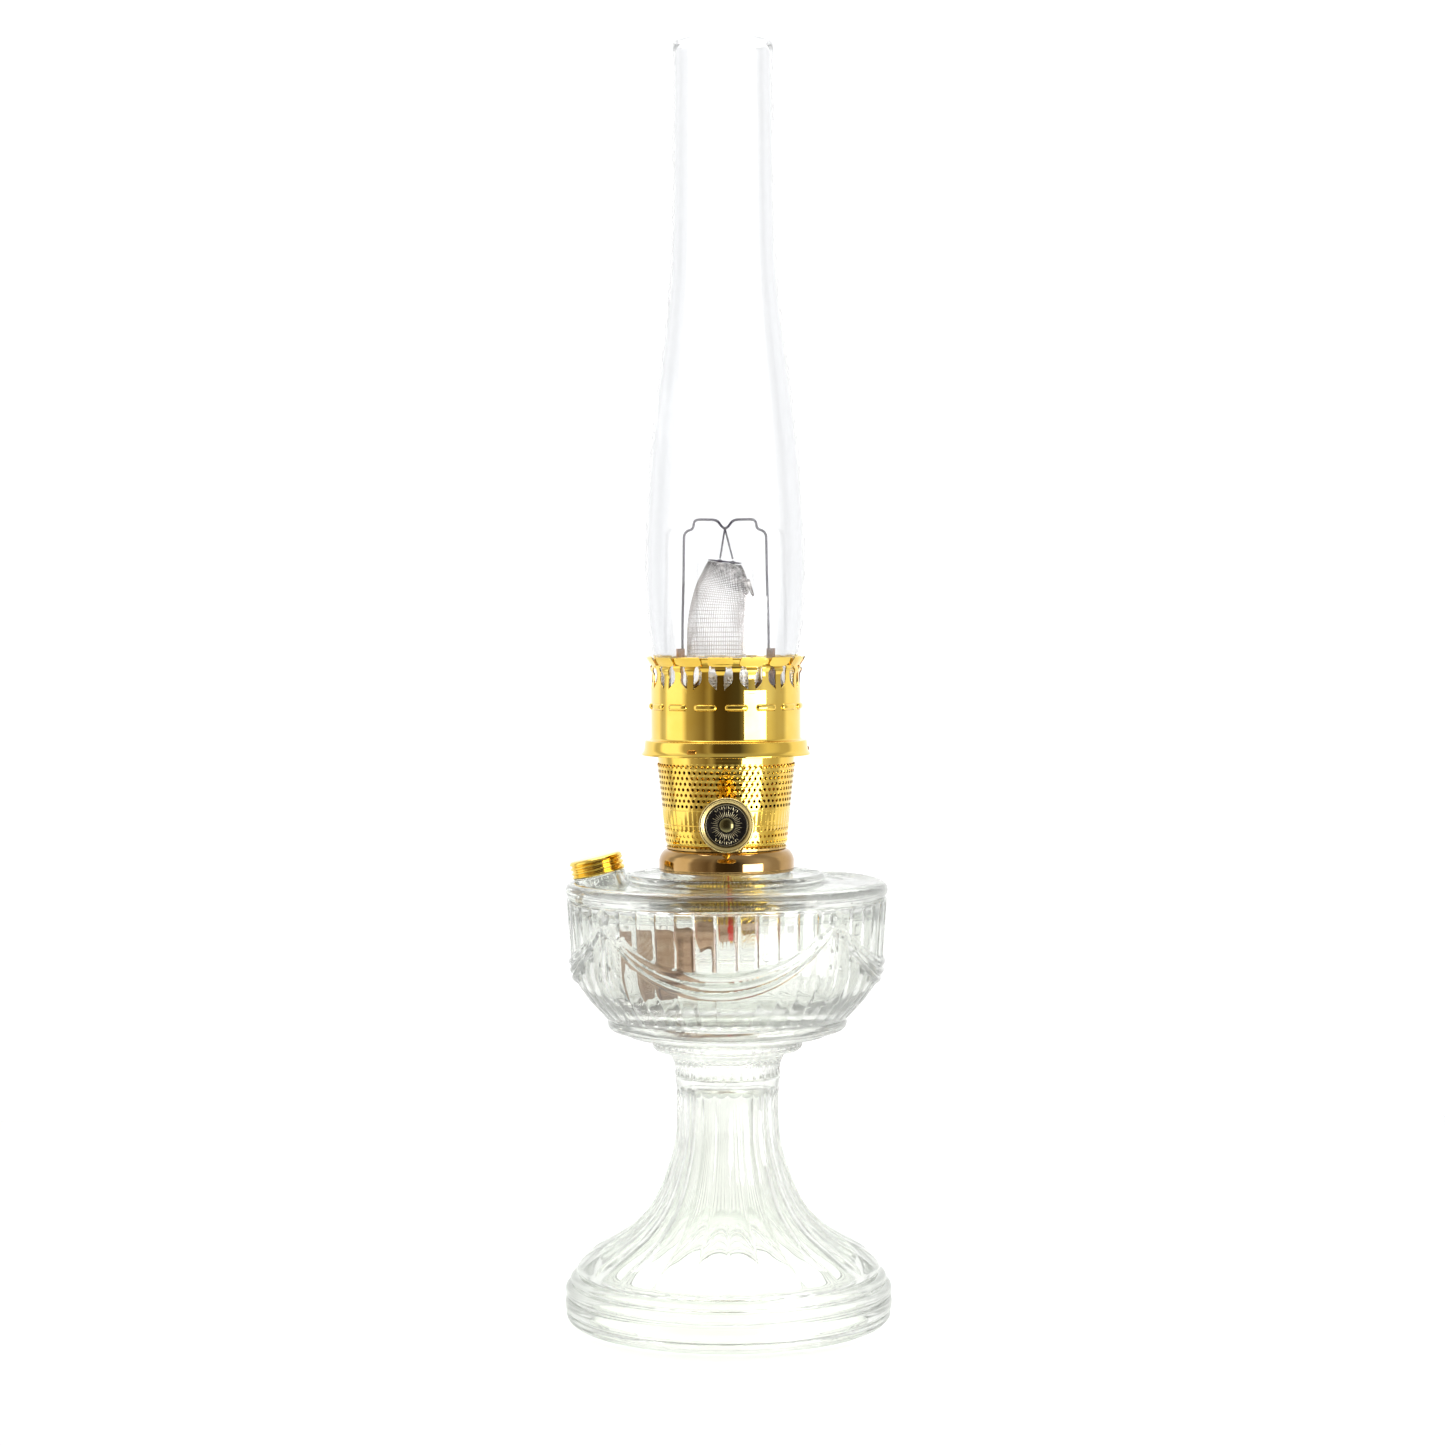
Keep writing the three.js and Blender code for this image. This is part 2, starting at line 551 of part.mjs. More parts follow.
// The sock hangs to one side. Each level: height, centre x, half width, half depth.
function sock() {
  const levels = [
    [367.6, 0, 8, 1.4], [363, 0.1, 10.2, 5], [357, -1, 12.6, 9], [348, -2.9, 13.9, 12], [335, -4.3, 14.6, 13.8],
    [SOCK.hem, -4.6, 15, 14.5],
  ];
  const sides = 16;
  const loop = (z, x, a, b) =>
    Array.from({ length: sides }, (_, i) => {
      const t = (2 * Math.PI * i) / sides;
      const px = x + a * Math.cos(t);
      return new THREE.Vector3(px, b * Math.sin(t), z - (z > 360 ? px * Math.tan(barTilt) : 0));
    });
  const outer = loft(levels.map(([z, x, a, b]) => loop(z, x, a, b)));
  const inner = levels.map(([z, x, a, b]) => loop(z - (z > 360 ? 1 : 0), x, a - SOCK.wall, Math.max(0.4, b - SOCK.wall)));
  inner.push(loop(SOCK.hem - 4, -4.6, 14.1, 13.6));
  return cut(outer, loft(inner));
}
place("mantle_sock", sock(), gauze, mantleTurned);
root.add(mantleTurned);

// ---- chimney: a blown tube, swelling above the gallery and narrowing to the top ----
function chimney() {
  const { base, wall, bottom, top } = CHIMNEY;
  const outer = [
    [base, bottom], [base, 314], [34, 319], [35.8, 326], [38, 341], [39, 360], [38.6, 386], [36.6, 416],
    [31.8, 456], [28.2, 484], [25.6, 521], [24.6, 566], [24.3, 612],
  ];
  const inner = outer.slice(1).toReversed().map(([r, z]) => [r - wall, z]);
  return lathe([...outer, [24, top - 0.6], [23.3, top], [22.6, top - 0.6], ...inner, [base - wall, bottom]]);
}
place("chimney", chimney(), glass);

export default root;
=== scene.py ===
"""Looks of the mantle oil lamp: pressed clear glass, polished brass, cotton wick and gauze mantle.

Every piece is built in the lamp's own frame: the axis is Z, the wick knob faces -Y and the filler cap -X.
Lengths are in millimetres until a mesh is made, and angles run in degrees from -Y towards +X.
"""

import json
import math

import bpy
from mathutils import Matrix, Vector, noise


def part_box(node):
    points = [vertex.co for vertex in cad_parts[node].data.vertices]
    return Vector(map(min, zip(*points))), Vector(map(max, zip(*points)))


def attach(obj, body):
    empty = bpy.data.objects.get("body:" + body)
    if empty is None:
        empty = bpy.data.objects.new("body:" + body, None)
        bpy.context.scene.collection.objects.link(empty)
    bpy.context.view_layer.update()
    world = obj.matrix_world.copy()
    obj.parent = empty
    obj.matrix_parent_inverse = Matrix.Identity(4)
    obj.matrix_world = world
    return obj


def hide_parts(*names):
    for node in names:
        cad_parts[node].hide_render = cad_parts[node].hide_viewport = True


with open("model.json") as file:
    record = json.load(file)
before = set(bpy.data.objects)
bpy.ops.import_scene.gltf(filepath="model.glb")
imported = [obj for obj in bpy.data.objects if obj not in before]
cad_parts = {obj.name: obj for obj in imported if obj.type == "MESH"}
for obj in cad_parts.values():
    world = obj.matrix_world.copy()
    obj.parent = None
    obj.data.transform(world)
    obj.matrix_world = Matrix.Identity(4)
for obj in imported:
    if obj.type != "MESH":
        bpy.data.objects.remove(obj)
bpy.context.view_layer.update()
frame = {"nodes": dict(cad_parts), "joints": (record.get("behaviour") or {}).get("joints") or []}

MM = 0.001
TAU = 2 * math.pi
RIBS = 48  # upright ribs round the font
SWAGS = 4  # draped swags round the font
FLUTES = 24  # broad flutes on the pedestal
CAPITAL_NOTCHES = 48  # fine notches in the bead under the font
NECK_FLUTES = 40  # fine flutes between the pedestal and that bead
CROWN = 15  # petals on the gallery, with a spring finger between each two
FONT_ANGLE = -3.8  # how far the font's pattern is turned from the knob's side
PETAL_ANGLE = -4.0
FINGER_ANGLE = PETAL_ANGLE + 180 / CROWN
LUG_ANGLE = -24.5  # the first of the three bayonet lugs
SHEET = 0.55  # brass sheet
WALL_R = 36.25  # radius of the gallery's wall
LENS = 77.9  # millimetres on a 36 mm sensor
EYE = Vector((-0.0014, -1.514, 0.347))
EYE_PITCH = 2.135  # degrees down
EYE_ROLL = 0.27  # the picture leans a little to the left


class Box:
    """Where a CAD node is, in millimetres."""

    def __init__(self, node):
        low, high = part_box(node)
        self.low, self.high = low / MM, high / MM
        self.middle = (self.low + self.high) / 2
        self.size = self.high - self.low


# ---------------------------------------------------------------- shapes


def lerp(a, b, t):
    return a + (b - a) * t


def ease(low, high, x):
    t = min(1.0, max(0.0, (x - low) / (high - low)))
    return t * t * (3 - 2 * t)


def spline(a, b, c, d, t):
    """One number on the Catmull-Rom curve from b to c."""
    bend = (2 * a - 5 * b + 4 * c - d) * t * t
    twist = (3 * b - a - 3 * c + d) * t**3
    return 0.5 * (2 * b + (c - a) * t + bend + twist)


def curve(points, per_span=6):
    """A Catmull-Rom curve through points of any dimension."""
    before = tuple(2 * a - b for a, b in zip(points[0], points[1]))
    after = tuple(2 * a - b for a, b in zip(points[-1], points[-2]))
    path = [before, *points, after]
    made = []
    for i in range(len(points) - 1):
        near = list(zip(*path[i : i + 4]))
        made += [tuple(spline(*numbers, k / per_span) for numbers in near) for k in range(per_span)]
    return made + [tuple(points[-1])]


def spread(low, high, count):
    """Evenly spaced numbers from low to high."""
    return [lerp(low, high, k / (count - 1)) for k in range(count)]


def arc(cx, cz, radius, start, end, steps=8, squash=1.0):
    """Points on an arc in the profile plane, its angles in degrees from +R towards +Z."""
    turns = [math.radians(a) for a in spread(start, end, steps + 1)]
    return [(cx + radius * math.cos(a), cz + radius * squash * math.sin(a)) for a in turns]


def polar(radius, degrees, z):
    a = math.radians(degrees)
    return (radius * math.sin(a), -radius * math.cos(a), z)


def revolve(profile, steps, shape=None, loop=False):
    """(vertices, faces) of a profile of (radius, height) points turned about Z. Radius 0 makes a pole.

    shape(radius, height, degrees) gives a new (radius, height). loop joins the last point to the first.
    """
    verts, rings = [], []
    for r, z in profile:
        count = steps if r else 1
        rings.append(list(range(len(verts), len(verts) + count)))
        for k in range(count):
            degrees = 360 * k / steps
            radius, height = shape(r, z, degrees) if shape else (r, z)
            verts.append(polar(radius, degrees, height))
    faces = []
    pairs = list(zip(rings, rings[1:])) + ([(rings[-1], rings[0])] if loop else [])
    for a, b in pairs:
        for k in range(steps):
            n = (k + 1) % steps
            if len(a) == 1 and len(b) == 1:
                continue
            if len(a) == 1:
                faces.append((a[0], b[n], b[k]))
            elif len(b) == 1:
                faces.append((a[k], a[n], b[0]))
            else:
                faces.append((a[k], a[n], b[n], b[k]))
    return verts, faces


def grid(rows):
    """(vertices, faces) of an open sheet from rows of points."""
    columns = len(rows[0])
    faces = [
        (i * columns + j, i * columns + j + 1, (i + 1) * columns + j + 1, (i + 1) * columns + j)
        for i in range(len(rows) - 1)
        for j in range(columns - 1)
    ]
    return [p for row in rows for p in row], faces


def shell(rows, inner):
    """(vertices, faces) of a closed plate: rows of points on one face and the matching rows on the other."""
    verts, faces = grid(rows)
    back, _ = grid(inner)
    count, columns = len(verts), len(rows[0])
    faces = faces + [tuple(count + i for i in reversed(f)) for f in faces]
    rim = list(range(columns))
    rim += [i * columns + columns - 1 for i in range(1, len(rows))]
    rim += [(len(rows) - 1) * columns + j for j in range(columns - 2, -1, -1)]
    rim += [i * columns for i in range(len(rows) - 2, 0, -1)]
    faces += [(a, count + a, count + b, b) for a, b in zip(rim, rim[1:] + rim[:1])]
    return verts + back, faces


def shifted(rows, dx=0.0, dy=0.0, dz=0.0):
    return [[(x + dx, y + dy, z + dz) for x, y, z in row] for row in rows]


def shrunk(rows, share):
    """The rows pulled towards the lamp's axis."""
    return [[(x * share, y * share, z) for x, y, z in row] for row in rows]


def tube(points, radius, sides=12, closed=False):
    """(vertices, faces) of a round wire along points. radius is a number or one number for each point."""
    path = [Vector(p) for p in points]
    radii = radius if hasattr(radius, "__len__") else [radius] * len(path)
    count = len(path)
    verts, side = [], None
    for i, p in enumerate(path):
        before = path[i - 1] if i or closed else p
        after = path[(i + 1) % count] if i + 1 < count or closed else p
        along = (after - before).normalized()
        if side is None:
            side = along.orthogonal().normalized()
        side = (side - along * side.dot(along)).normalized()
        up = along.cross(side)
        for k in range(sides):
            a = TAU * k / sides
            verts.append(tuple(p + (side * math.cos(a) + up * math.sin(a)) * radii[i]))
    faces = []
    for i in range(count if closed else count - 1):
        n = (i + 1) % count
        for k in range(sides):
            m = (k + 1) % sides
            faces.append((i * sides + k, i * sides + m, n * sides + m, n * sides + k))
    if not closed:
        faces.append(tuple(reversed(range(sides))))
        faces.append(tuple(range((count - 1) * sides, count * sides)))
    return verts, faces


def merged(*parts):
    verts, faces = [], []
    for v, f in parts:
        faces += [tuple(i + len(verts) for i in face) for face in f]
        verts += list(v)
    return verts, faces


def stitched(outside, inside, steps):
    """One closed skin: the last ring of the outside is joined to the first ring of the inside."""
    start = len(outside[0])
    verts, faces = merged(outside, inside)
    for k in range(steps):
        n = (k + 1) % steps
        faces.append((start - steps + k, start - steps + n, start + n, start + k))
    return verts, faces


def moved(part, matrix):
    return [tuple(matrix @ Vector(v)) for v in part[0]], part[1]


def turned(part, degrees):
    return moved(part, Matrix.Rotation(math.radians(degrees), 4, "Z"))


def make(name, part, sharp=40):
    """A mesh object from millimetres, its faces turned outwards and smooth except over sharp edges."""
    mesh = bpy.data.meshes.new(name)
    mesh.from_pydata([tuple(c * MM for c in v) for v in part[0]], [], part[1])
    mesh.validate()
    obj = bpy.data.objects.new(name, mesh)
    bpy.context.scene.collection.objects.link(obj)
    bpy.context.view_layer.objects.active = obj
    obj.select_set(True)
    bpy.ops.object.mode_set(mode="EDIT")
    bpy.ops.mesh.select_all(action="SELECT")
    bpy.ops.mesh.normals_make_consistent(inside=False)
    bpy.ops.object.mode_set(mode="OBJECT")
    mesh.shade_smooth()
    if sharp:
        mesh.set_sharp_from_angle(angle=math.radians(sharp))
    obj.select_set(False)
    return obj


def dress(obj, look, body, nodes=()):
    """The piece takes its material, rides on its body and stands for its CAD nodes."""
    obj.data.materials.clear()
    obj.data.materials.append(look)
    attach(obj, body)
    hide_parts(*nodes)
    return obj


def piece(name, part, look, body, nodes=(), sharp=40):
    """A mesh made from (vertices, faces) and dressed."""
    return dress(make(name, part, sharp), look, body, nodes)


def apply(obj, kind, **settings):
    modifier = obj.modifiers.new(kind.lower(), kind)
    for key, value in settings.items():
        setattr(modifier, key, value)
    with bpy.context.temp_override(object=obj, active_object=obj, selected_objects=[obj]):
        bpy.ops.object.modifier_apply(modifier=modifier.name)


def smooth(mesh, sharp):
    """Smooth shading, except over edges that bend by more than sharp degrees."""
    mesh.shade_smooth()
    mesh.set_sharp_from_angle(angle=math.radians(sharp))


# ---------------------------------------------------------------- materials


class Nodes:
    """Short ways to make and link the nodes of one tree."""

    def __init__(self, tree):
        self.tree = tree
        tree.nodes.clear()

    def link(self, a, b):
        self.tree.links.new(a, b)

    def node(self, kind, settings=None, **inputs):
        """A node with its inputs set or linked: by name, with _ for a space, or by number after a _."""
        made = self.tree.nodes.new("ShaderNode" + kind)
        for key, value in (settings or {}).items():
            setattr(made, key, value)
        for key, value in inputs.items():
            socket = made.inputs[int(key[1:])] if key[0] == "_" else made.inputs[key.replace("_", " ")]
            if isinstance(value, bpy.types.NodeSocket):
                self.link(value, socket)
            else:
                socket.default_value = value
        return made

    def split(self, vector):
        """The X, Y and Z of a vector."""
        return self.node("SeparateXYZ", Vector=vector).outputs

    def ramp(self, factor, *stops):
        made = self.node("ValToRGB", Fac=factor)
        elements = made.color_ramp.elements
        while len(elements) < len(stops):
            elements.new(0.5)
        for element, (position, colour) in zip(elements, stops):
            element.position = position
            element.color = (*colour, 1.0)
        return made.outputs["Color"]

    def range(self, factor, low, high, from_low=0.3, from_high=0.7):
        made = self.node("MapRange", Value=factor)
        for key, value in zip(("From Min", "From Max", "To Min", "To Max"), (from_low, from_high, low, high)):
            made.inputs[key].default_value = value
        return made.outputs["Result"]

    def mix(self, factor, a, b):
        made = self.node("Mix", {"data_type": "RGBA"}, _0=factor)
        for index, value in ((6, a), (7, b)):
            if isinstance(value, bpy.types.NodeSocket):
                self.link(value, made.inputs[index])
            else:
                made.inputs[index].default_value = (*value, 1.0)
        return made.outputs[2]

    def maths(self, operation, a, b=0.0):
        return self.node("Math", {"operation": operation}, _0=a, _1=b).outputs[0]


class Look(Nodes):
    """A node material built on one Principled shader."""

    def __init__(self, name):
        self.material = bpy.data.materials.new(name)
        self.material.use_nodes = True
        super().__init__(self.material.node_tree)
        self.out = self.node("OutputMaterial")
        self.shader = self.node("BsdfPrincipled")
        self.link(self.shader.outputs["BSDF"], self.out.inputs["Surface"])
        self.place = self.node("TexCoord").outputs["Object"]

    def set(self, **values):
        for key, value in values.items():
            self.shader.inputs[key.replace("_", " ")].default_value = value

    def stretched(self, x, y, z):
        """The object's coordinates in metres, scaled along each axis."""
        return self.node("Mapping", Vector=self.place, Scale=(x, y, z)).outputs["Vector"]

    def noise(self, scale, detail=3.0, roughness=0.55, vector=None):
        place = vector or self.place
        made = self.node("TexNoise", Vector=place, Scale=scale, Detail=detail, Roughness=roughness)
        return made.outputs["Fac"]

    def colour(self, socket):
        self.link(socket, self.shader.inputs["Base Color"])

    def rough(self, socket):
        self.link(socket, self.shader.inputs["Roughness"])

    def bump(self, height, strength, distance):
        normal = self.node("Bump", Height=height, Strength=strength, Distance=distance).outputs["Normal"]
        self.link(normal, self.shader.inputs["Normal"])
        return self

    def facing(self):
        """0 where the surface faces the viewer, 1 where it turns away."""
        return self.node("LayerWeight", Blend=0.5).outputs["Facing"]

    def clear_to_light(self, tint, straight):
        """Shadow rays pass, so what stands inside is lit, and a share of all light goes straight through."""
        lets = self.node("BsdfTransparent", Color=(*tint, 1.0)).outputs["BSDF"]
        share = self.maths("MAXIMUM", self.node("LightPath").outputs["Is Shadow Ray"], straight)
        mixed = self.node("MixShader", _0=share, _1=self.shader.outputs["BSDF"], _2=lets).outputs["Shader"]
        self.link(mixed, self.out.inputs["Surface"])
        return self


def pressed_glass():
    """Thick clear glass, turning a darker green towards its edges, partly its own tint and partly painted
    shade, with ripples and small seeds from the mould.
    """
    look = Look("pressed_glass")
    look.set(Transmission_Weight=1.0, IOR=1.5, Metallic=0.0)
    tint = look.ramp(look.noise(9.0, 2.0), (0.3, (0.88, 0.895, 0.855)), (0.7, (0.92, 0.93, 0.905)))
    # Painted shade: surfaces turned away from the viewer darken to green, partly the glass's own tint and
    # partly shade standing in for the refracted surroundings.
    edge = look.range(look.facing(), 0.0, 1.0, 0.35, 1.0)
    look.colour(look.mix(edge, tint, (0.52, 0.57, 0.51)))
    look.rough(look.range(look.noise(60.0, 3.0), 0.0, 0.03))
    ripple = look.noise(70.0, 1.0, vector=look.stretched(1.0, 1.0, 0.6))
    seeds = look.range(look.noise(420.0, 1.0), 0.0, 1.0, 0.74, 0.8)
    look.bump(look.maths("ADD", ripple, look.maths("MULTIPLY", seeds, 0.12)), 0.12, 0.0012)
    return look.clear_to_light((0.95, 0.965, 0.94), 0.1).material


def blown_glass():
    """Thin clear glass with long draw lines, greyed towards its edges by painted shade."""
    look = Look("blown_glass")
    look.set(Transmission_Weight=1.0, IOR=1.47, Metallic=0.0)
    tint = look.ramp(look.noise(6.0, 2.0), (0.3, (0.985, 0.99, 0.995)), (0.7, (0.998, 1.0, 1.0)))
    # Painted shade: grey where the surface turns away from the viewer, standing in for darker surroundings seen
    # in the glass.
    painted_edge_greys = ((0.22, 0.0), (0.38, 0.9), (0.5, 0.75), (0.8, 1.0))
    wall = look.ramp(look.facing(), *((where, (grey, grey, grey)) for where, grey in painted_edge_greys))
    look.colour(look.mix(wall, tint, (0.815, 0.824, 0.84)))
    look.rough(look.range(look.noise(30.0, 3.0), 0.0, 0.015))
    look.bump(look.noise(22.0, 1.0, vector=look.stretched(1.0, 1.0, 0.25)), 0.05, 0.0015)
    return look.clear_to_light((0.97, 0.975, 0.98), 0.1).material


def metal(name, dark, light, rough=(0.06, 0.16), lines=0.02, spots=None, shine=1.0):
    """Polished or worn metal: a cloudy tint, spun lines round the axis and fine handling marks."""
    look = Look(name)
    look.set(Metallic=shine)
    tone = look.ramp(look.noise(38.0, 4.0), (0.32, dark), (0.68, light))
    if spots:
        patch = look.range(look.noise(150.0, 5.0, 0.7), 0.0, 1.0, 0.58, 0.72)
        tone = look.mix(patch, tone, spots)
    look.colour(tone)
    look.rough(look.range(look.noise(26.0, 5.0, 0.65), *rough))
    spun = look.noise(1.0, 2.0, vector=look.stretched(60.0, 60.0, 3200.0))
    marks = look.noise(500.0, 3.0, 0.7)
    return look.bump(look.maths("ADD", spun, look.maths("MULTIPLY", marks, 0.5)), lines, 0.0002).material


def enamel():
    look = Look("black_enamel")
    look.set(Coat_Weight=0.6, Coat_Roughness=0.04)
    look.colour(look.ramp(look.noise(300.0, 3.0), (0.4, (0.004, 0.004, 0.005)), (0.7, (0.018, 0.016, 0.015))))
    look.rough(look.range(look.noise(120.0, 4.0), 0.12, 0.3))
    return look.bump(look.noise(900.0, 2.0), 0.1, 0.0001).material


def weave(look, pitch):
    """Over-and-under threads, from 0 in the gaps to 1 on the crowns."""
    x, _, z = look.split(look.place)
    across = look.maths("SINE", look.maths("MULTIPLY", x, TAU / pitch))
    along = look.maths("SINE", look.maths("MULTIPLY", z, TAU / pitch))
    return look.range(look.maths("MULTIPLY", across, along), 0.0, 1.0, -1.0, 1.0)


def wicking():
    """Beige cotton braid with a painted shadow where a fold would shade it, darker towards its hem, and one red
    tracer thread.
    """
    look = Look("wick_cotton")
    look.set(Sheen_Weight=0.1, Roughness=0.92)
    x, _, z = look.split(look.place)
    uneven = look.noise(95.0, 6.0, 0.75)
    base = look.ramp(uneven, (0.3, (0.17, 0.09, 0.05)), (0.48, (0.42, 0.27, 0.18)), (0.7, (0.62, 0.46, 0.33)))
    threads = weave(look, 0.0011)
    tone = look.mix(look.range(threads, 0.45, 0.0, 0.0, 0.6), base, (0.26, 0.17, 0.12))
    # Painted shadow: a dark streak up the tail where a fold would shade it, mixed with the darker hem below.
    ragged = look.maths("ADD", look.maths("ADD", x, 0.0215), look.maths("MULTIPLY", uneven, 0.006))
    fold = look.range(look.maths("ABSOLUTE", ragged), 1.0, 0.0, 0.0012, 0.0042)
    fold = look.maths("MULTIPLY", fold, look.range(z, 1.0, 0.0, 0.188, 0.193))
    hem = look.range(z, 0.8, 0.0, 0.160, 0.172)
    hem = look.maths("MULTIPLY", hem, look.range(uneven, 0.0, 1.0, 0.4, 0.6))
    tone = look.mix(look.maths("MAXIMUM", fold, hem), tone, (0.07, 0.03, 0.018))
    wander = look.maths("MULTIPLY", look.noise(90.0, 2.0), 0.003)
    off = look.maths("ABSOLUTE", look.maths("SUBTRACT", look.maths("ADD", x, wander), 0.0030))
    look.colour(look.mix(look.range(off, 1.0, 0.0, 0.0007, 0.0011), tone, (0.55, 0.03, 0.02)))
    return look.bump(look.maths("ADD", threads, look.noise(900.0, 3.0)), 0.7, 0.0005).material


def mantle_gauze():
    """White knitted ash gauze, greyed by soot near its top on the right."""
    look = Look("mantle_gauze")
    look.set(Roughness=0.95, Sheen_Weight=0.3)
    clean = look.ramp(look.noise(120.0, 4.0), (0.3, (0.52, 0.48, 0.47)), (0.7, (0.80, 0.77, 0.76)))
    x, _, z = look.split(look.place)
    high = look.range(look.maths("ADD", z, look.maths("MULTIPLY", x, 0.9)), 0.0, 1.0, 0.350, 0.362)
    soot = look.maths("MULTIPLY", high, look.range(look.noise(210.0, 6.0, 0.75), 0.0, 1.0, 0.40, 0.52))
    look.colour(look.mix(soot, clean, (0.07, 0.058, 0.052)))
    return look.bump(look.noise(1500.0, 2.0), 0.4, 0.0002).material


def chalk():
    look = Look("plaster")
    look.set(Roughness=0.93)
    look.colour(look.ramp(look.noise(200.0, 5.0, 0.7), (0.3, (0.50, 0.45, 0.36)), (0.7, (0.74, 0.70, 0.60))))
    return look.bump(look.noise(700.0, 4.0), 0.5, 0.0003).material


def corkboard():
    look = Look("cork")
    look.set(Roughness=0.88)
    cells = look.node("TexVoronoi", Vector=look.place, Scale=700.0).outputs["Distance"]
    look.colour(look.ramp(cells, (0.1, (0.24, 0.14, 0.07)), (0.5, (0.50, 0.35, 0.20))))
    return look.bump(cells, 0.5, 0.0003).material


GLASS = pressed_glass()
THIN_GLASS = blown_glass()
BRASS = metal("brass", (0.84, 0.55, 0.085), (0.93, 0.665, 0.15), (0.02, 0.08), 0.012)
RED_BRASS = metal("red_brass", (0.38, 0.22, 0.07), (0.52, 0.34, 0.15), (0.03, 0.09), 0.012)
CUP_BRASS = metal("knob_brass", (0.62, 0.47, 0.17), (0.78, 0.62, 0.28), (0.2, 0.32), 0.03)
NICKEL = metal("nickel", (0.62, 0.60, 0.58), (0.86, 0.85, 0.83), (0.25, 0.4), 0.05, (0.45, 0.40, 0.34))
INNER_BRASS = metal(
    "inner_brass", (0.50, 0.32, 0.10), (0.78, 0.54, 0.20), (0.18, 0.38), 0.05, (0.30, 0.18, 0.07)
)
STEEL = metal(
    "bail_steel", (0.045, 0.04, 0.055), (0.11, 0.10, 0.13), (0.5, 0.7), 0.1, (0.09, 0.05, 0.04), 0.45
)
COPPER = metal("clip_copper", (0.50, 0.27, 0.17), (0.78, 0.50, 0.36), (0.22, 0.4), 0.1, (0.25, 0.13, 0.09))
SCALED = metal("clip_brown", (0.08, 0.04, 0.03), (0.24, 0.12, 0.08), (0.3, 0.5), 0.2, (0.05, 0.03, 0.03))
OLIVE = metal("knob_stud", (0.13, 0.115, 0.05), (0.30, 0.26, 0.12), (0.14, 0.26), 0.05)
RAYS = metal("knob_rays", (0.60, 0.50, 0.28), (0.86, 0.78, 0.52), (0.25, 0.4), 0.05)
# Painted shade: the gallery's brass darkened to amber for its dimples, standing in for the shade and
# reflections in their hollows.
DIMPLE_SHADE_BRASS = metal("dimple_brass_painted_shade", (0.34, 0.15, 0.02), (0.50, 0.24, 0.04), (0.2, 0.32), 0.03)
ENAMEL = enamel()
COTTON = wicking()
GAUZE = mantle_gauze()
PLASTER = chalk()
CORK = corkboard()


# ---------------------------------------------------------------- glass


def pedestal():
    """A fluted stem that flares into a foot of stacked beads, hollow from below."""
    box = Box("glass_pedestal")
    rim, top, steps = box.size.x / 2, box.high.z, FLUTES * 16
    bead_top = 26  # the flutes run out above the beads
    stem = curve(
        [(25.6, top), (24.9, 113), (24.6, 104), (24.9, 93), (26.4, 83), (29.2, 73.7), (32.9, 64), (38.3, 54.4)]
        + [(47.5, 44.7), (56, 38.9), (63.4, 34.8), (68.8, 31.4), (72.3, 27.8), (73.5, 25.4)],
        5,
    )
    beads = curve([(73.2, 24.2), (71.9, 23.6), (73.9, 23.2), (76.2, 22.1), (76.9, 20.6), (76.4, 19.7)], 3)
    beads += curve([(75.4, 19.2), (77.4, 18.8), (79.0, 17.2), (rim - 0.3, 15.4), (79.0, 13.7)], 3)
    beads += curve([(77.4, 12.9), (78.9, 12.3), (rim - 0.1, 10.4), (rim, 8.6), (79.3, 6.6)], 3)
    beads += curve([(77.2, 5.5), (78.3, 5.0), (78.9, 3.6), (78.1, 1.7), (76.4, 0.3), (74.5, 0)], 3)
    under = [(70, 0), (67, 1.2), (66, 8), (63, 17), (52, 29.5), (38, 43), (27.6, 60), (21.5, 79), (18.8, 98)]
    under = curve(under, 4) + curve([(17.6, 108), (16.6, 113), (12, 115.4), (0, 115.8)], 4)

    def flute(r, z, degrees):
        if z < bead_top or r < 23:
            return r, z
        depth = 1.3 * (r / 25) ** 0.6 * ease(bead_top, 36, z) * (1 - ease(108, 115, z))
        phase = (degrees * FLUTES / 360) % 1
        return r - depth * (abs(math.sin(math.pi * phase)) ** 0.7), z

    outer = [(0, top)] + arc(24.4, top - 1.2, 1.2, 90, 0, 4) + stem[3:] + beads
    part = stitched(revolve(outer, steps, flute), revolve(under, steps), steps)
    return piece("pedestal_glass", part, GLASS, "lamp_base", ["glass_pedestal"], 0)


def drape(degrees, h):
    """How far the font's side stands out of its plain outline at height h: ribs, swags, knots and tassels."""
    span = 360 / SWAGS
    knot = round((degrees - span / 2) / span) * span + span / 2
    off = degrees - knot
    across = 1 - abs(off) / (span / 2)  # 1 at the knot, 0 at the middle of the swag
    top = 80 - 23 * (1 - across**2.2)
    low = top - 2.6 - 10.6 * max(0.0, 1 - across * across) ** 0.8
    s = (top - h) / (top - low)
    phase = abs(2 * ((degrees * RIBS / 360) % 1) - 1)
    above = -0.95 * phase**9 - 0.15 * phase**2
    below = -0.85 * phase**3
    under = ease(0.8, 1.2, s)
    height = lerp(above, below, under) * ease(27.5, 31, h) - 0.45
    if 0 < s < 1:
        fold = abs(math.sin(3 * math.pi * s)) ** 0.7
        height = max(height, -0.6 + (0.95 + 0.85 * s) * fold)
    drop = 80 - h
    half = 1.2 + 0.17 * max(0.0, drop)
    if -1 < drop < 41 and abs(off) < half:
        v = off / half
        folds = abs(math.sin(2 * math.pi * (v + 1))) ** 0.6
        taper = (1 - ease(30, 41, drop + 6 * abs(v))) * ease(-1, 2, drop)
        height = max(height, -0.5 + (0.5 + 0.8 * (1 - abs(v))) * folds * taper)
    bow = math.hypot(off * 1.32, h - 80.5)
    if bow < 4:
        height = max(height, 1.25 * math.cos(bow / 4 * math.pi / 2))
    return height


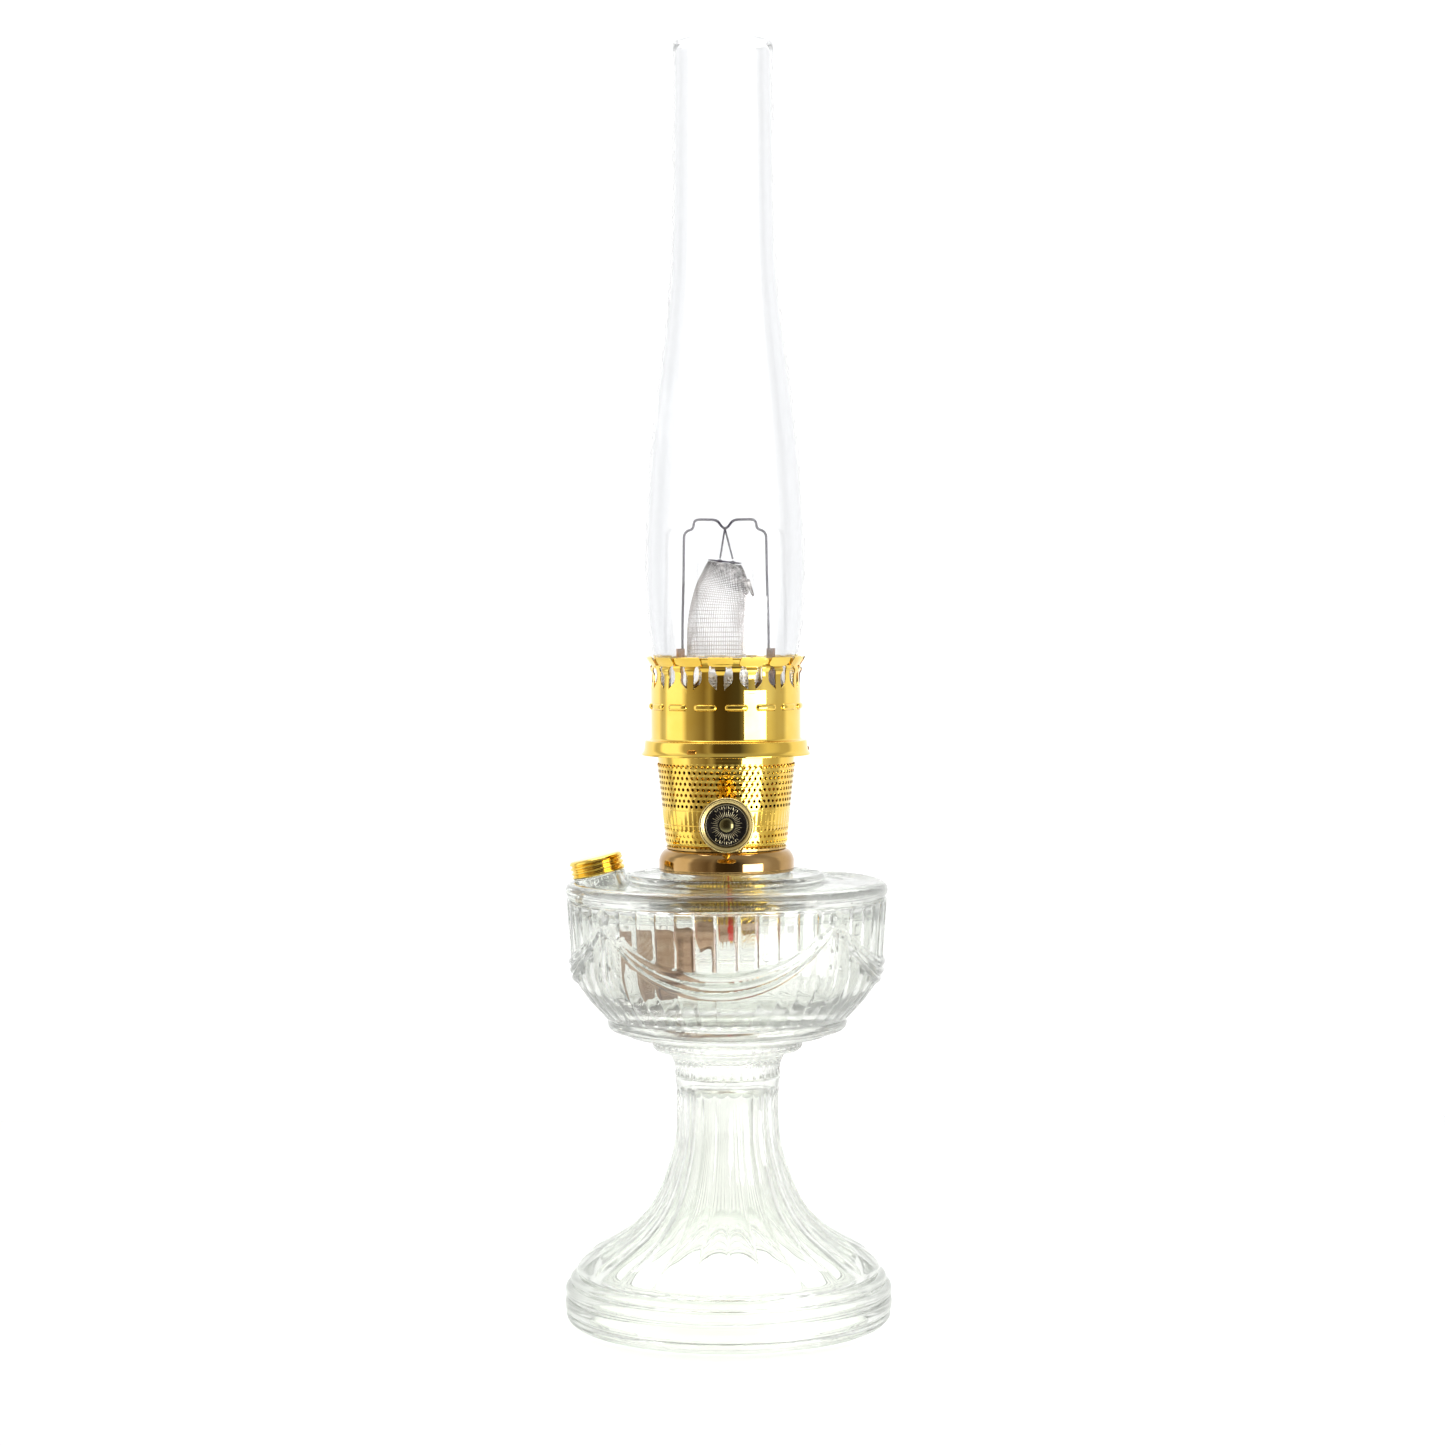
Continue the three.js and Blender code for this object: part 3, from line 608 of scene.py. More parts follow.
def font():
    """The oil font: beads, a ribbed and draped side, a round shoulder and a stepped top with a mouth."""
    base, steps = Box("glass_font").low.z, RIBS * 12
    neck = [(25.6, 0), (25.3, 2.5), (26, 6), (27.4, 8.8), (28.6, 10.2)]
    capital = arc(33.6, 14.6, 2.9, -110, 100, 10)
    lower = curve([(34, 18.2), (40, 18.4), (45, 18.7)], 3) + arc(47.2, 22.1, 3.2, -60, 50, 8)
    lower += arc(54.8, 25.2, 3.4, -75, 45, 8)
    side = curve(
        [(58.6, 27.6), (62.6, 31.4), (66.4, 35.6), (69.6, 39.8), (72.4, 43.8), (74.6, 47.9), (76, 52.4)]
        + [(76.6, 58), (77, 65), (77.6, 74), (78.1, 82), (78.2, 84.6)],
        11,
    )
    shoulder = [(77.9, 85.3), (76.7, 85.8)] + arc(74, 89.6, 4.2, -38, 88, 12)
    top = curve([(73.4, 93.9), (70, 93.3), (66, 92.5), (60, 92.6), (54, 93.2), (50, 93.6)], 4)
    top += arc(45.6, 95.2, 2.4, -15, 100, 8)
    top += curve([(43.6, 96.5), (39, 96.7), (33, 97.4), (30, 98.3), (28.5, 99.8)], 4)
    mouth = [(28.5, 103.4), (28, 104), (26, 104), (25.5, 103.4), (25.5, 93.5)]
    inside = [(26.4, 92.2), (34, 90.2), (48, 88.8), (60, 87.4), (67.5, 85.6), (71.6, 82), (73, 75)]
    inside += [(73.1, 64)]
    inside = curve(inside, 4)
    inside += curve([(72.8, 56), (70.6, 48), (66.2, 42), (56.4, 34.8), (44, 31.6), (26, 30.2), (0, 29.8)], 5)

    def press(r, z, degrees):
        turn = math.radians(degrees)
        if 28.5 <= z <= 85.0 and r > 58:
            swell = ease(28.5, 30, z) * (1 - ease(84.3, 85.0, z))
            r += drape(degrees - FONT_ANGLE, z) * swell
        elif 9.5 < z < 18.2 and r > 27:
            r -= 0.5 * abs(math.sin(turn * CAPITAL_NOTCHES / 2)) ** 6
        elif z < 9 and r > 24:
            r -= 0.45 * abs(math.sin(turn * NECK_FLUTES / 2)) ** 2 * ease(1, 3, z)
        return r, z + base

    outside = revolve([(0, 0)] + neck + capital + lower + side + shoulder + top + mouth, steps, press)
    hollow = revolve(inside, steps, lambda r, z, _: (r, z + base))
    bowl = make("font_glass", stitched(outside, hollow, steps), 0)
    add_filler_neck(bowl)
    smooth(bowl.data, 55)
    return dress(bowl, GLASS, "lamp_base", ["glass_font"])


def add_filler_neck(bowl):
    """The tilted neck joined to the bowl, and its bore cut through."""
    profile = [(0, -5), (14.6, -5), (14.1, 0.6), (13.0, 2.0), (12.9, 3.4), (12.4, 4.1), (11.5, 4.2)]
    profile += [(11.5, 10), (10.9, 10.7), (0, 10.7)]
    boss = make("filler_boss", filler(profile, 64))
    bore = make("filler_bore", filler([(0, -9), (8.6, -9), (8.6, 14), (0, 14)], 64))
    apply(bowl, "BOOLEAN", operation="UNION", solver="MANIFOLD", object=boss)
    apply(bowl, "BOOLEAN", operation="DIFFERENCE", solver="MANIFOLD", object=bore)
    for helper in (boss, bore):
        bpy.data.objects.remove(helper)


def filler_frame():
    """The filler neck's tilted axis, from the filler_cap_turn joint: the origin at its point, Z along it."""
    joint = next(j for j in frame["joints"] if j["name"] == "filler_cap_turn")
    along = Vector(joint["axis"]).normalized()
    turn = Vector((0, 0, 1)).rotation_difference(along).to_matrix().to_4x4()
    return Matrix.Translation(Vector(joint["pos_m"]) / MM) @ turn


def filler(profile, steps, shape=None, loop=False):
    return moved(revolve(profile, steps, shape, loop), filler_frame())


def chimney():
    """A blown tube with a straight foot, a swelling body and a long neck, its rim fire-polished."""
    box = Box("chimney")
    base, high = box.low.z, box.size.z
    outer = curve(
        [(33.2, 1.2), (33.3, 6), (33.35, 12), (34, 18.5), (35.4, 24), (37, 33), (38.4, 46), (39, 60)]
        + [(38.9, 74), (38.4, 88), (37.6, 102), (36, 122), (33.9, 140), (31.4, 160), (28.9, 180), (27, 198)]
        + [(25.7, 216), (25, 240), (24.7, 270), (24.4, 300), (24.3, high - 3)],
        5,
    )
    wall = 1.5
    rim = arc(24.2 - 1.1, high - 1.3, 1.15, 0, 180, 8)
    inner = [(r - wall, z) for r, z in reversed(outer)]
    foot = arc(33.2 - wall / 2, 0.9, wall / 2, 180, 360, 6)

    def waver(r, z, degrees):
        x, y, _ = polar(1, degrees, z)
        return r + 0.10 * noise.noise(Vector((x, -y, z / 60))), z + base

    part = revolve(outer + rim + inner + foot, 144, waver, loop=True)
    return piece("chimney_glass", part, THIN_GLASS, "chimney", ["chimney"], 0)


# ---------------------------------------------------------------- collar and filler cap


def collar():
    box = Box("font_collar")
    low, high, r = box.low.z, box.high.z, box.size.x / 2
    profile = [(r - 1.3, low), (r - 0.5, low + 0.1), (r - 0.1, low + 0.6)]
    profile += curve([(r, low + 1.4), (r, low + 5.6)], 4)
    shoulder = [(r - 0.25, low + 6.6), (r - 0.9, low + 8.2), (r - 2.2, low + 9.9), (r - 3.4, high - 0.3)]
    profile += curve(shoulder, 5)
    profile += [(r - 4.0, high), (28.7, high - 0.1), (28.6, high - 0.6), (28.6, low + 5.9)]
    profile += [(r - 1.5, low + 5.9)]
    part = revolve(profile, 128, loop=True)
    return piece("collar_shell", part, RED_BRASS, "lamp_base", ["font_collar"])


def filler_cap():
    """A spun cap with a rolled thread in its skirt and a softly domed top."""
    pitch, radius, seat, top = 2.35, 12.85, 4.6, 13.2
    profile = [(radius - 0.9, seat), (radius - 0.2, seat + 0.05), (radius + 0.1, seat + 0.5)]
    profile += [(radius, seat + 0.7 + 0.18 * k) for k in range(36)]
    profile += [(radius - 0.1, top - 1.1), (radius - 0.45, top - 0.55), (radius - 1.1, top - 0.18)]
    profile += [(9, top), (6, top), (3, top), (0, top)]
    inner = [(0, top - 0.75), (6, top - 0.75), (radius - 0.9, top - 0.85), (radius - 0.9, top - 1.4)]

    def thread(r, z, degrees):
        if abs(r - radius) < 1e-6:
            fade = ease(seat + 0.6, seat + 1.6, z) * (1 - ease(top - 2.4, top - 1.5, z))
            turn = z / pitch - degrees / 360
            r += (0.5 * math.sin(TAU * turn) - 0.5) * 0.95 * fade + 0.22
        return r, z

    part = filler(profile + inner, 120, thread, loop=True)
    return piece("filler_cap_shell", part, BRASS, "filler_cap", ["filler_cap"], sharp=35)


# ---------------------------------------------------------------- burner


def hole_band(radius_at, z_rows, count, hole, row_height):
    """A strip of perforated sheet: staggered rows of holes, each in its own cell of eight faces."""
    verts, faces, known = [], [], {}
    rim = [(0.5, 0), (0.5, 0.5), (0, 0.5), (-0.5, 0.5), (-0.5, 0), (-0.5, -0.5), (0, -0.5), (0.5, -0.5)]

    def point(u, z):
        key = (round(u % 360, 4), round(z, 4))
        if key not in known:
            known[key] = len(verts)
            verts.append(polar(radius_at(z), u, z))
        return known[key]

    step = 360 / count
    for row, z in enumerate(z_rows):
        low, high = z - row_height / 2, z + row_height / 2
        for k in range(count):
            u = (k + 0.5 * (row % 2)) * step
            outer = [point(u + a * step, z if b == 0 else (high if b > 0 else low)) for a, b in rim]
            ring = []
            for i in range(8):
                a = TAU * i / 8
                du = math.degrees(hole * math.cos(a) / radius_at(z))
                ring.append(len(verts))
                verts.append(polar(radius_at(z), u + du, z + hole * math.sin(a)))
            faces += [(outer[i], outer[(i + 1) % 8], ring[(i + 1) % 8], ring[i]) for i in range(8)]
    return verts, faces


def plain_band(radius_at, heights, count):
    """A strip of plain sheet whose edges meet the cells of hole_band."""
    rows = [[polar(radius_at(z), 180 * k / count, z) for k in range(2 * count + 1)] for z in heights]
    return grid(rows)


def basket():
    """The perforated burner body, tapering down to the collar."""
    box = Box("burner_basket")
    base, top = box.low.z, box.high.z
    low, shoulder = base + 1.8, 273.5

    def radius_at(z):
        if z > shoulder:
            return lerp(33.15, 33.5, ease(shoulder, 276, z))
        if z < low:
            return lerp(26.9, 28.95, math.sqrt(max(0.0, (z - base) / (low - base))))
        share = (z - low) / (shoulder - low)
        return lerp(28.95, 33.15, share) - 0.25 * math.sin(math.pi * share)

    count, pitch = 72, 2.72
    upper = [270.4 - pitch * k for k in range(8)]
    lower = [239.8 - pitch * k for k in range(3)]
    edge = [upper[0] + pitch / 2, upper[-1] - pitch / 2, lower[0] + pitch / 2, lower[-1] - pitch / 2]
    sheet = merged(
        plain_band(radius_at, [top, 279, 276.5, 275, shoulder, edge[0]], count),
        hole_band(radius_at, upper, count, 0.86, pitch),
        plain_band(radius_at, spread(edge[1], edge[2], 9), count),
        hole_band(radius_at, lower, count, 0.8, pitch),
        plain_band(radius_at, [edge[3]] + spread(low, base, 6)[1:], count),
    )
    obj = make("burner_basket_shell", sheet, 0)
    apply(obj, "WELD", merge_threshold=2e-6)
    face = obj.data.polygons[0]
    outward = face.normal.x * face.center.x + face.normal.y * face.center.y > 0
    apply(obj, "SOLIDIFY", thickness=SHEET * MM, offset=-1.0 if outward else 1.0, use_even_offset=True)
    smooth(obj.data, 50)
    return dress(obj, BRASS, "burner", ["burner_basket"])


def basket_lugs():
    """Three bayonet lugs that hold the gallery."""
    stations = ((33.2, 0), (35.4, 0.15), (37.3, 0.1))
    lug = [[polar(r, a, 278.3 + d) for a in (-6, -3, 0, 3, 6)] for r, d in stations]
    plate = shell(lug, shifted(lug, dz=-0.8))
    return piece("basket_lugs", merged(*thrice(plate)), BRASS, "burner")


def thrice(part):
    """The part three times round the lamp, from the first lug's side."""
    return [turned(part, LUG_ANGLE + 120 * k) for k in range(3)]


def bead(r, degrees, z):
    """A low dome on the basket's side."""
    levels = ((0.62, -0.15), (0.6, 0.1), (0.42, 0.38), (0.16, 0.5))
    dome, faces = [], []
    for m, (wide, out) in enumerate(levels):
        for i in range(8):
            a, n = TAU * i / 8, (i + 1) % 8
            dome.append(polar(r + out, degrees + math.degrees(wide * math.cos(a) / r), z + wide * math.sin(a)))
            if m < 3:
                faces.append((8 * m + i, 8 * m + n, 8 * m + 8 + n, 8 * m + 8 + i))
    return dome, faces + [tuple(range(8)), tuple(range(24, 32))]


def basket_beading():
    """Two plain rings with rows of beads between them."""
    parts = []
    for z, r in ((249.3, 30.82), (242.0, 30.05)):
        parts.append(tube([polar(r, 5 * k, z) for k in range(72)], 0.38, 8, closed=True))
    count = 66
    for row, z in enumerate((244.0, 245.8, 247.6)):
        r = 30.1 + 0.104 * (z - 245.7)
        parts += [bead(r, (k + 0.5 * (row % 2)) * 360 / count, z) for k in range(count)]
    return piece("basket_beading", merged(*parts), BRASS, "burner", sharp=60)


def deflector_cone():
    box = Box("burner_cone")
    low, high = box.low.z, box.high.z
    cone = [(32.3, low + 1.1), (31.2, low + 3.2), (28.2, low + 9.2), (24.6, low + 15.8)]
    cone = curve(cone + [(22, high - 1.6), (21.1, high - 0.3)], 4)
    inner = [(r - 0.55, z - 0.35) for r, z in reversed(cone)]
    profile = [(32.4, low)] + cone + [(20.7, high), (20.4, high - 0.4)] + inner[1:] + [(31.8, low)]
    return piece("deflector_cone", revolve(profile, 96, loop=True), INNER_BRASS, "burner", ["burner_cone"])


def flame_spreader():
    """A perforated thimble with a domed cap and a stepped skirt."""
    box = Box("flame_spreader")
    low, high, pitch = box.low.z, box.high.z, 1.55
    rows = [low + 10.2 + pitch * k for k in range(5)]
    wall = hole_band(lambda z: 13.25 - 0.05 * (z - low - 9), rows, 40, 0.5, pitch)
    obj = make("spreader_thimble", wall, 0)
    apply(obj, "SOLIDIFY", thickness=0.35 * MM, offset=-1.0)
    obj.data.shade_smooth()
    dress(obj, NICKEL, "burner", ["flame_spreader"])
    bottom, edge = rows[0] - pitch / 2, rows[-1] + pitch / 2
    cap = [(12.95, edge - 0.1), (12.5, edge + 1.3), (11.4, high - 0.9), (9, high - 0.2), (4.5, high)]
    cap += [(0, high)]
    cap = curve(cap, 4)
    dish = [(0, high - 0.45), (9, high - 0.65), (12.2, edge - 0.1)]
    piece("spreader_cap", revolve([(0, high)] + cap[::-1][1:] + dish[::-1], 72), NICKEL, "burner")
    skirt = [(12.9, low), (13.6, low), (13.7, low + 0.3), (13.7, low + 7.9), (14.5, low + 8.3)]
    skirt += [(14.6, low + 8.8)]
    skirt += [(13.6, bottom + 0.1), (13, bottom + 0.1)]
    piece("spreader_skirt", revolve(skirt, 72, loop=True), NICKEL, "burner")


# ---------------------------------------------------------------- wick raiser


def knob_piece(name, part, look, nodes=(), body="wick_knob", sharp=40):
    """A piece built round Z, laid on the knob's axis with its top towards the viewer."""
    height = Box("knob_rim").middle.z
    place = Matrix.Translation(Vector((0, 0, height))) @ Matrix.Rotation(math.radians(90), 4, "X")
    return piece(name, moved(part, place), look, body, nodes, sharp)


def knob():
    """A rolled brass cup with an enamelled disc in it and a domed button."""
    box = Box("knob_rim")
    front, back, radius = -box.low.y, -box.high.y, box.size.x / 2
    cup = [(1.9, back), (3.8, back), (4, back + 0.3), (4, back + 3.2), (5, back + 3.5), (10.6, back + 3.5)]
    cup += curve([(11.5, back + 3.7), (12.1, back + 4.6), (12.3, back + 5.8), (12.2, front - 1.6)], 4)
    cup += arc(radius - 0.75, front - 0.85, 0.75, -40, 150, 10)
    cup += [(10.6, front - 0.9), (10.45, front - 1.5), (10.4, front - 2.1), (1.9, front - 2.1)]
    knob_piece("knob_cup", revolve(cup, 120, loop=True), CUP_BRASS, ["knob_rim"])
    face = -Box("knob_disc").low.y
    plate = [(1.8, face - 0.8), (9.9, face - 0.8), (10.1, face - 0.3), (9.8, face), (1.8, face)]
    knob_piece("knob_enamel", revolve(plate, 96, loop=True), ENAMEL, ["knob_disc"])
    sunburst(face)
    button = Box("knob_button")
    edge, low, tip = button.size.x / 2, -button.high.y, -button.low.y
    dome = [(0, low), (edge, low), (edge, low + 0.35)] + arc(0, low + 0.35, edge, 12, 90, 8, 0.28)[1:]
    dome = [(r, min(z, tip)) for r, z in dome[:-1]] + [(0, tip - 0.05)]
    knob_piece("knob_stud", revolve(dome, 64), OLIVE, ["knob_button"])


def sunburst(face):
    """Thin raised rays round the button, a zigzag above and below them, and a ring at the edge."""
    parts = []
    for k in range(40):
        long = 7.4 if k % 2 else 6.4
        levels = ((4.1, 0.02), (5.2, 0.1), (long - 0.7, 0.09), (long, 0.02))
        spine = [polar(r, 9 * k, face + h) for r, h in levels]
        parts.append(tube(spine, [0.07, 0.13, 0.10, 0.04], 6))
    for side in (0, 180):
        for k in range(-5, 6):
            a = side + 7.5 * k
            lean = 1.2 if k % 2 else -1.2
            parts.append(tube([polar(7.75, a - lean, face + 0.04), polar(8.9, a + lean, face + 0.04)], 0.13, 6))
    parts.append(tube([polar(9.6, 4 * k, face - 0.02) for k in range(90)], 0.13, 6, closed=True))
    knob_piece("knob_sunburst", merged(*parts), RAYS, sharp=60)


def spindle():
    """The knob's shaft, and the bush it turns in."""
    shaft = Box("knob_spindle")
    near, far = -shaft.low.y, -shaft.high.y
    rod = [(0, far), (1.3, far), (1.5, far + 0.3), (1.5, near - 0.3), (1.3, near), (0, near)]
    knob_piece("spindle_rod", revolve(rod, 48), BRASS, ["knob_spindle"])
    bush = Box("spindle_bush")
    near, far = -bush.low.y, -bush.high.y
    sleeve = [(1.8, far), (3.2, far), (3.2, near - 3), (2.9, near - 2.6), (2.9, near - 0.4), (2.6, near)]
    sleeve += [(1.8, near)]
    knob_piece("bush_sleeve", revolve(sleeve, 48, loop=True), BRASS, ["spindle_bush"], body="burner")


# ---------------------------------------------------------------- gallery


def tongue(stations, columns=9):
    """A strip of sheet from stations of (height, radius of its outer face, half angle)."""
    rows = curve(stations, 5)
    outer = [[polar(r, a, z) for a in spread(-half, half, columns)] for z, r, half in rows]
    inner = []
    for i, (z, r, half) in enumerate(rows):
        a, b = rows[max(0, i - 1)], rows[min(len(rows) - 1, i + 1)]
        rise, out = b[0] - a[0], b[1] - a[1]
        length = math.hypot(rise, out) or 1.0
        dz, dr = SHEET * out / length, -SHEET * rise / length
        inner.append([polar(r + dr, a, z + dz) for a in spread(-half, half, columns)])
    return shell(outer, inner)


def gallery():
    """The crown that turns on the basket: a flared skirt under a slotted wall."""
    low, skirt = Box("gallery").low.z, 40.9
    columns = 12 * CROWN
    heights = [284, 288, 292, 295.8, 297.1, 297.9, 300.4, 303, 306.8]
    slot_row = 4

    def in_slot(j):
        centre = (FINGER_ANGLE / 360 * columns) % 12
        return abs((j + 0.5 - centre + 6) % 12 - 6) < 3.6

    verts, faces = [], []
    for i, z in enumerate(heights):
        verts += [polar(WALL_R, 360 * j / columns, z) for j in range(columns)]
        for j in range(columns):
            if z == heights[-1] or (i == slot_row and in_slot(j)):
                continue
            n = (j + 1) % columns
            faces.append((i * columns + j, i * columns + n, (i + 1) * columns + n, (i + 1) * columns + j))
    flare = curve([(WALL_R, 284), (WALL_R + 0.1, 283.2), (37.2, 282.5), (38.9, 282.2)], 4)
    flare += curve([(39.2, 281.9), (39.45, 280.6), (39.6, 278.8), (39.85, 277.4), (40.4, low + 1.3)], 4)
    flare += [(skirt - 0.1, low + 0.9), (skirt, low + 0.5), (skirt - 0.1, low + 0.1), (skirt - 0.5, low)]
    obj = make("gallery_wall", merged((verts, faces), revolve(flare, columns)), 0)
    apply(obj, "WELD", merge_threshold=2e-6)
    apply(obj, "SOLIDIFY", thickness=SHEET * MM, offset=-1.0, use_even_offset=True)
    smooth(obj.data, 40)
    dress(obj, BRASS, "gallery", ["gallery"])


def crown(part, start):
    """The part once for each petal, round the gallery."""
    return merged(*(turned(part, start + 360 / CROWN * k) for k in range(CROWN)))


def gallery_crown():
    """Petals outside, with keyhole openings between them, and the spring fingers that grip the chimney."""
    high = Box("gallery").high.z
    petal = [(305.4, WALL_R, 3.0), (307.5, 36.2, 2.8), (310, 36.0, 2.6), (312.4, 35.9, 2.6)]
    petal += [(314.2, 36.0, 2.7)]
    petal += [(315.2, 36.5, 3.2), (316.3, 36.9, 3.9), (317.3, 36.6, 4.1), (318, 36.1, 4.3)]
    petal += [(318.7, 36.4, 8.6)]
    petal += [(319.6, 37.0, 9.4), (321, 37.9, 9.3), (high - 0.1, 38.6, 8.6)]
    finger = [(305.4, WALL_R, 9.4), (307.4, WALL_R, 8.8), (308.6, 36.1, 6.6), (310, 35.9, 4.2)]
    finger += [(311.4, 35.8, 2.9)]
    finger += [(313.5, 35.7, 2.6), (315.6, 35.8, 2.7), (316.8, 36.3, 3.3), (317.8, 36.6, 3.5)]
    finger += [(318.7, 36.2, 3.5)]
    finger += [(319.4, 35.9, 3.4), (320.2, 36.4, 3.6), (321.2, 37.0, 3.6), (322, 37.2, 3.3)]
    finger += [(322.3, 36.9, 2.9)]
    piece("gallery_petals", crown(tongue(petal), PETAL_ANGLE), BRASS, "gallery", sharp=50)
    piece("gallery_fingers", crown(tongue(finger), FINGER_ANGLE), BRASS, "gallery", sharp=50)


def gallery_louvres():
    """A pill-shaped hood over each slot in the wall."""
    hood = []
    for i in range(13):
        v = -math.cos(math.pi * i / 12)
        half = 8.9 - 2.4 * (1 - math.sqrt(1 - v * v))
        row = []
        for j in range(25):
            u = -math.cos(math.pi * j / 24)
            bulge = 1.25 * (1 - v * v) ** 0.5 * (1 - u**6) ** 0.5
            row.append(polar(WALL_R - 0.1 + bulge, half * u, 298.75 + 1.6 * v))
        hood.append(row)
    louvres = crown(shell(hood, shrunk(hood, 0.99)), FINGER_ANGLE)
    piece("gallery_louvres", louvres, BRASS, "gallery", sharp=60)


def gallery_dimples():
    """Three rounded dimples in the skirt, over the basket's lugs, in the gallery's brass darkened to amber as
    painted shade.
    """
    dimple = []
    for i in range(9):
        v = -math.cos(math.pi * i / 8)
        half = 3.8 - 0.9 * (1 - math.sqrt(1 - v * v))
        row = [(half * u, 0.9 * ((1 - v * v) * (1 - u**4)) ** 0.4) for u in spread(-1, 1, 17)]
        dimple.append([polar(39.55 + bulge, a, 277.7 + 1.25 * v) for a, bulge in row])
    dimples = merged(*thrice(shell(dimple, shrunk(dimple, 0.95))))
    piece("gallery_dimples", dimples, DIMPLE_SHADE_BRASS, "gallery")


# ---------------------------------------------------------------- mantle


def upright(points):
    """Points of (across, height) in the plane through the lamp's axis that faces the viewer."""
    return [(x, 0, z) for x, z in points]


def wire(name, path, radius, sides, node):
    return piece(name, tube(path, radius, sides), STEEL, "mantle", [node], 60)


def bail():
    """One bent wire from clip to clip with a dip in the middle, and the forked hanger below it."""
    box = Box("mantle_bail")
    low, high = box.low.z, box.high.z
    half = [(box.high.x - 0.7, low), (20.8, low + 20), (20.2, low + 42), (19.9, low + 60.6)]
    half += [(19.5, low + 63.6)]
    half += [(18.2, low + 65.2), (16.4, low + 65.9), (15.4, low + 67), (15, low + 69), (14.3, high - 1.2)]
    half += [(12.6, high - 0.7), (8.6, high - 0.7), (5, high - 0.9), (3.2, high - 1.8)]
    half += [(1.8, high - 3.8), (0.6, high - 4.7)]
    path = half + [(0, high - 4.9)] + [(-x, z) for x, z in reversed(half)]
    wire("bail_wire", curve(upright(path), 4), 0.62, 14, "mantle_bail")
    hook = Box("mantle_hanger")
    top, left, right = hook.high.z + 0.6, hook.low.x + 0.45, hook.high.x - 0.45
    foot = hook.low.z + 0.3
    legs = [(left, foot + 0.3)] + [(lerp(left, -0.4, t), lerp(foot, top - 1.1, t)) for t in (0.3, 0.6, 1)]
    legs += [(0, top)] + [(lerp(right, 0.4, t), lerp(foot, top - 1.1, t)) for t in (1, 0.6, 0.3)]
    legs.append((right, foot))
    wire("hanger_wire", curve(upright(legs), 6), 0.44, 10, "mantle_hanger")


def hanger_bar():
    """A flattened bar that slopes down to the right, with a lug where each leg of the hanger ends."""
    bar = Box("mantle_bar")
    low, high = bar.low, bar.high
    drop = (high.z - low.z) - 1.3
    sides, stations = 12, 25
    verts, faces = [], []
    for i, t in enumerate(spread(0, 1, stations)):
        x, z = lerp(low.x, high.x, t), lerp(high.z - 0.65, high.z - 0.65 - drop, t)
        lug = 0.6 * (math.exp(-(((t - 0.36) * 26) ** 2)) + math.exp(-(((t - 0.74) * 26) ** 2)))
        end = math.sqrt(max(0.05, 1 - (2 * t - 1) ** 8))
        for k in range(sides):
            a, m = TAU * k / sides, (k + 1) % sides
            verts.append((x, 1.15 * end * math.cos(a), z + (0.45 * end + lug) * math.sin(a)))
            if i < stations - 1:
                faces.append((i * sides + k, i * sides + m, (i + 1) * sides + m, (i + 1) * sides + k))
    faces += [tuple(reversed(range(sides))), tuple(range((stations - 1) * sides, stations * sides))]
    piece("hanger_bar", (verts, faces), STEEL, "mantle", ["mantle_bar"], 60)


def clip(name, node, look):
    """A crimped strip folded round the foot of the bail, with a leg and a ragged tab on the mantle ring."""
    box = Box(node)
    side = 1 if box.middle.x > 0 else -1
    outer = max(abs(box.low.x), abs(box.high.x))
    inner = min(abs(box.low.x), abs(box.high.x))
    low, high = box.low.z, box.high.z
    wing = high - 9
    outline = [(inner, -1.5), (outer - 1.4, -1.75), (outer - 0.5, -1.3), (outer - 0.1, 0), (outer - 0.5, 1.3)]
    path = curve(outline + [(outer - 1.4, 1.75), (inner, 1.5)], 4)

    def lining(x, y, z):
        return x - side * 0.3 * ease(inner, outer, abs(x)), y * 0.68, z

    rows = []
    for k in range(13):
        pinch = 1 - 0.2 * math.sin(math.pi * ease(0, 12, k)) ** 2 + 0.07 * math.sin(2.6 * k)
        rows.append([(side * x, y * pinch, lerp(wing, high - 0.1, k / 12)) for x, y in path])
    fold = shell(rows, [[lining(*p) for p in row] for row in rows])
    heights = (low, low + 4, low + 8, wing + 1)
    leg = [[(side * (outer - 0.15), y, z) for y in spread(-1.8, 1.8, 5)] for z in heights]
    tab = []
    for z in spread(low + 3, wing + 1, 9):
        ragged = 0.5 * noise.noise(Vector((side * 3.0, 0, z / 2)))
        across = spread(inner + 0.7 + ragged, outer - 0.5, 5)
        tab.append([(side * x, -1.5 + 0.35 * math.sin(2.1 * j + z), z) for j, x in enumerate(across)])
    parts = [fold, shell(leg, shifted(leg, dx=-side * 0.6)), shell(tab, shifted(tab, dy=0.45))]
    return piece(name, merged(*parts), look, "mantle", [node], 45)


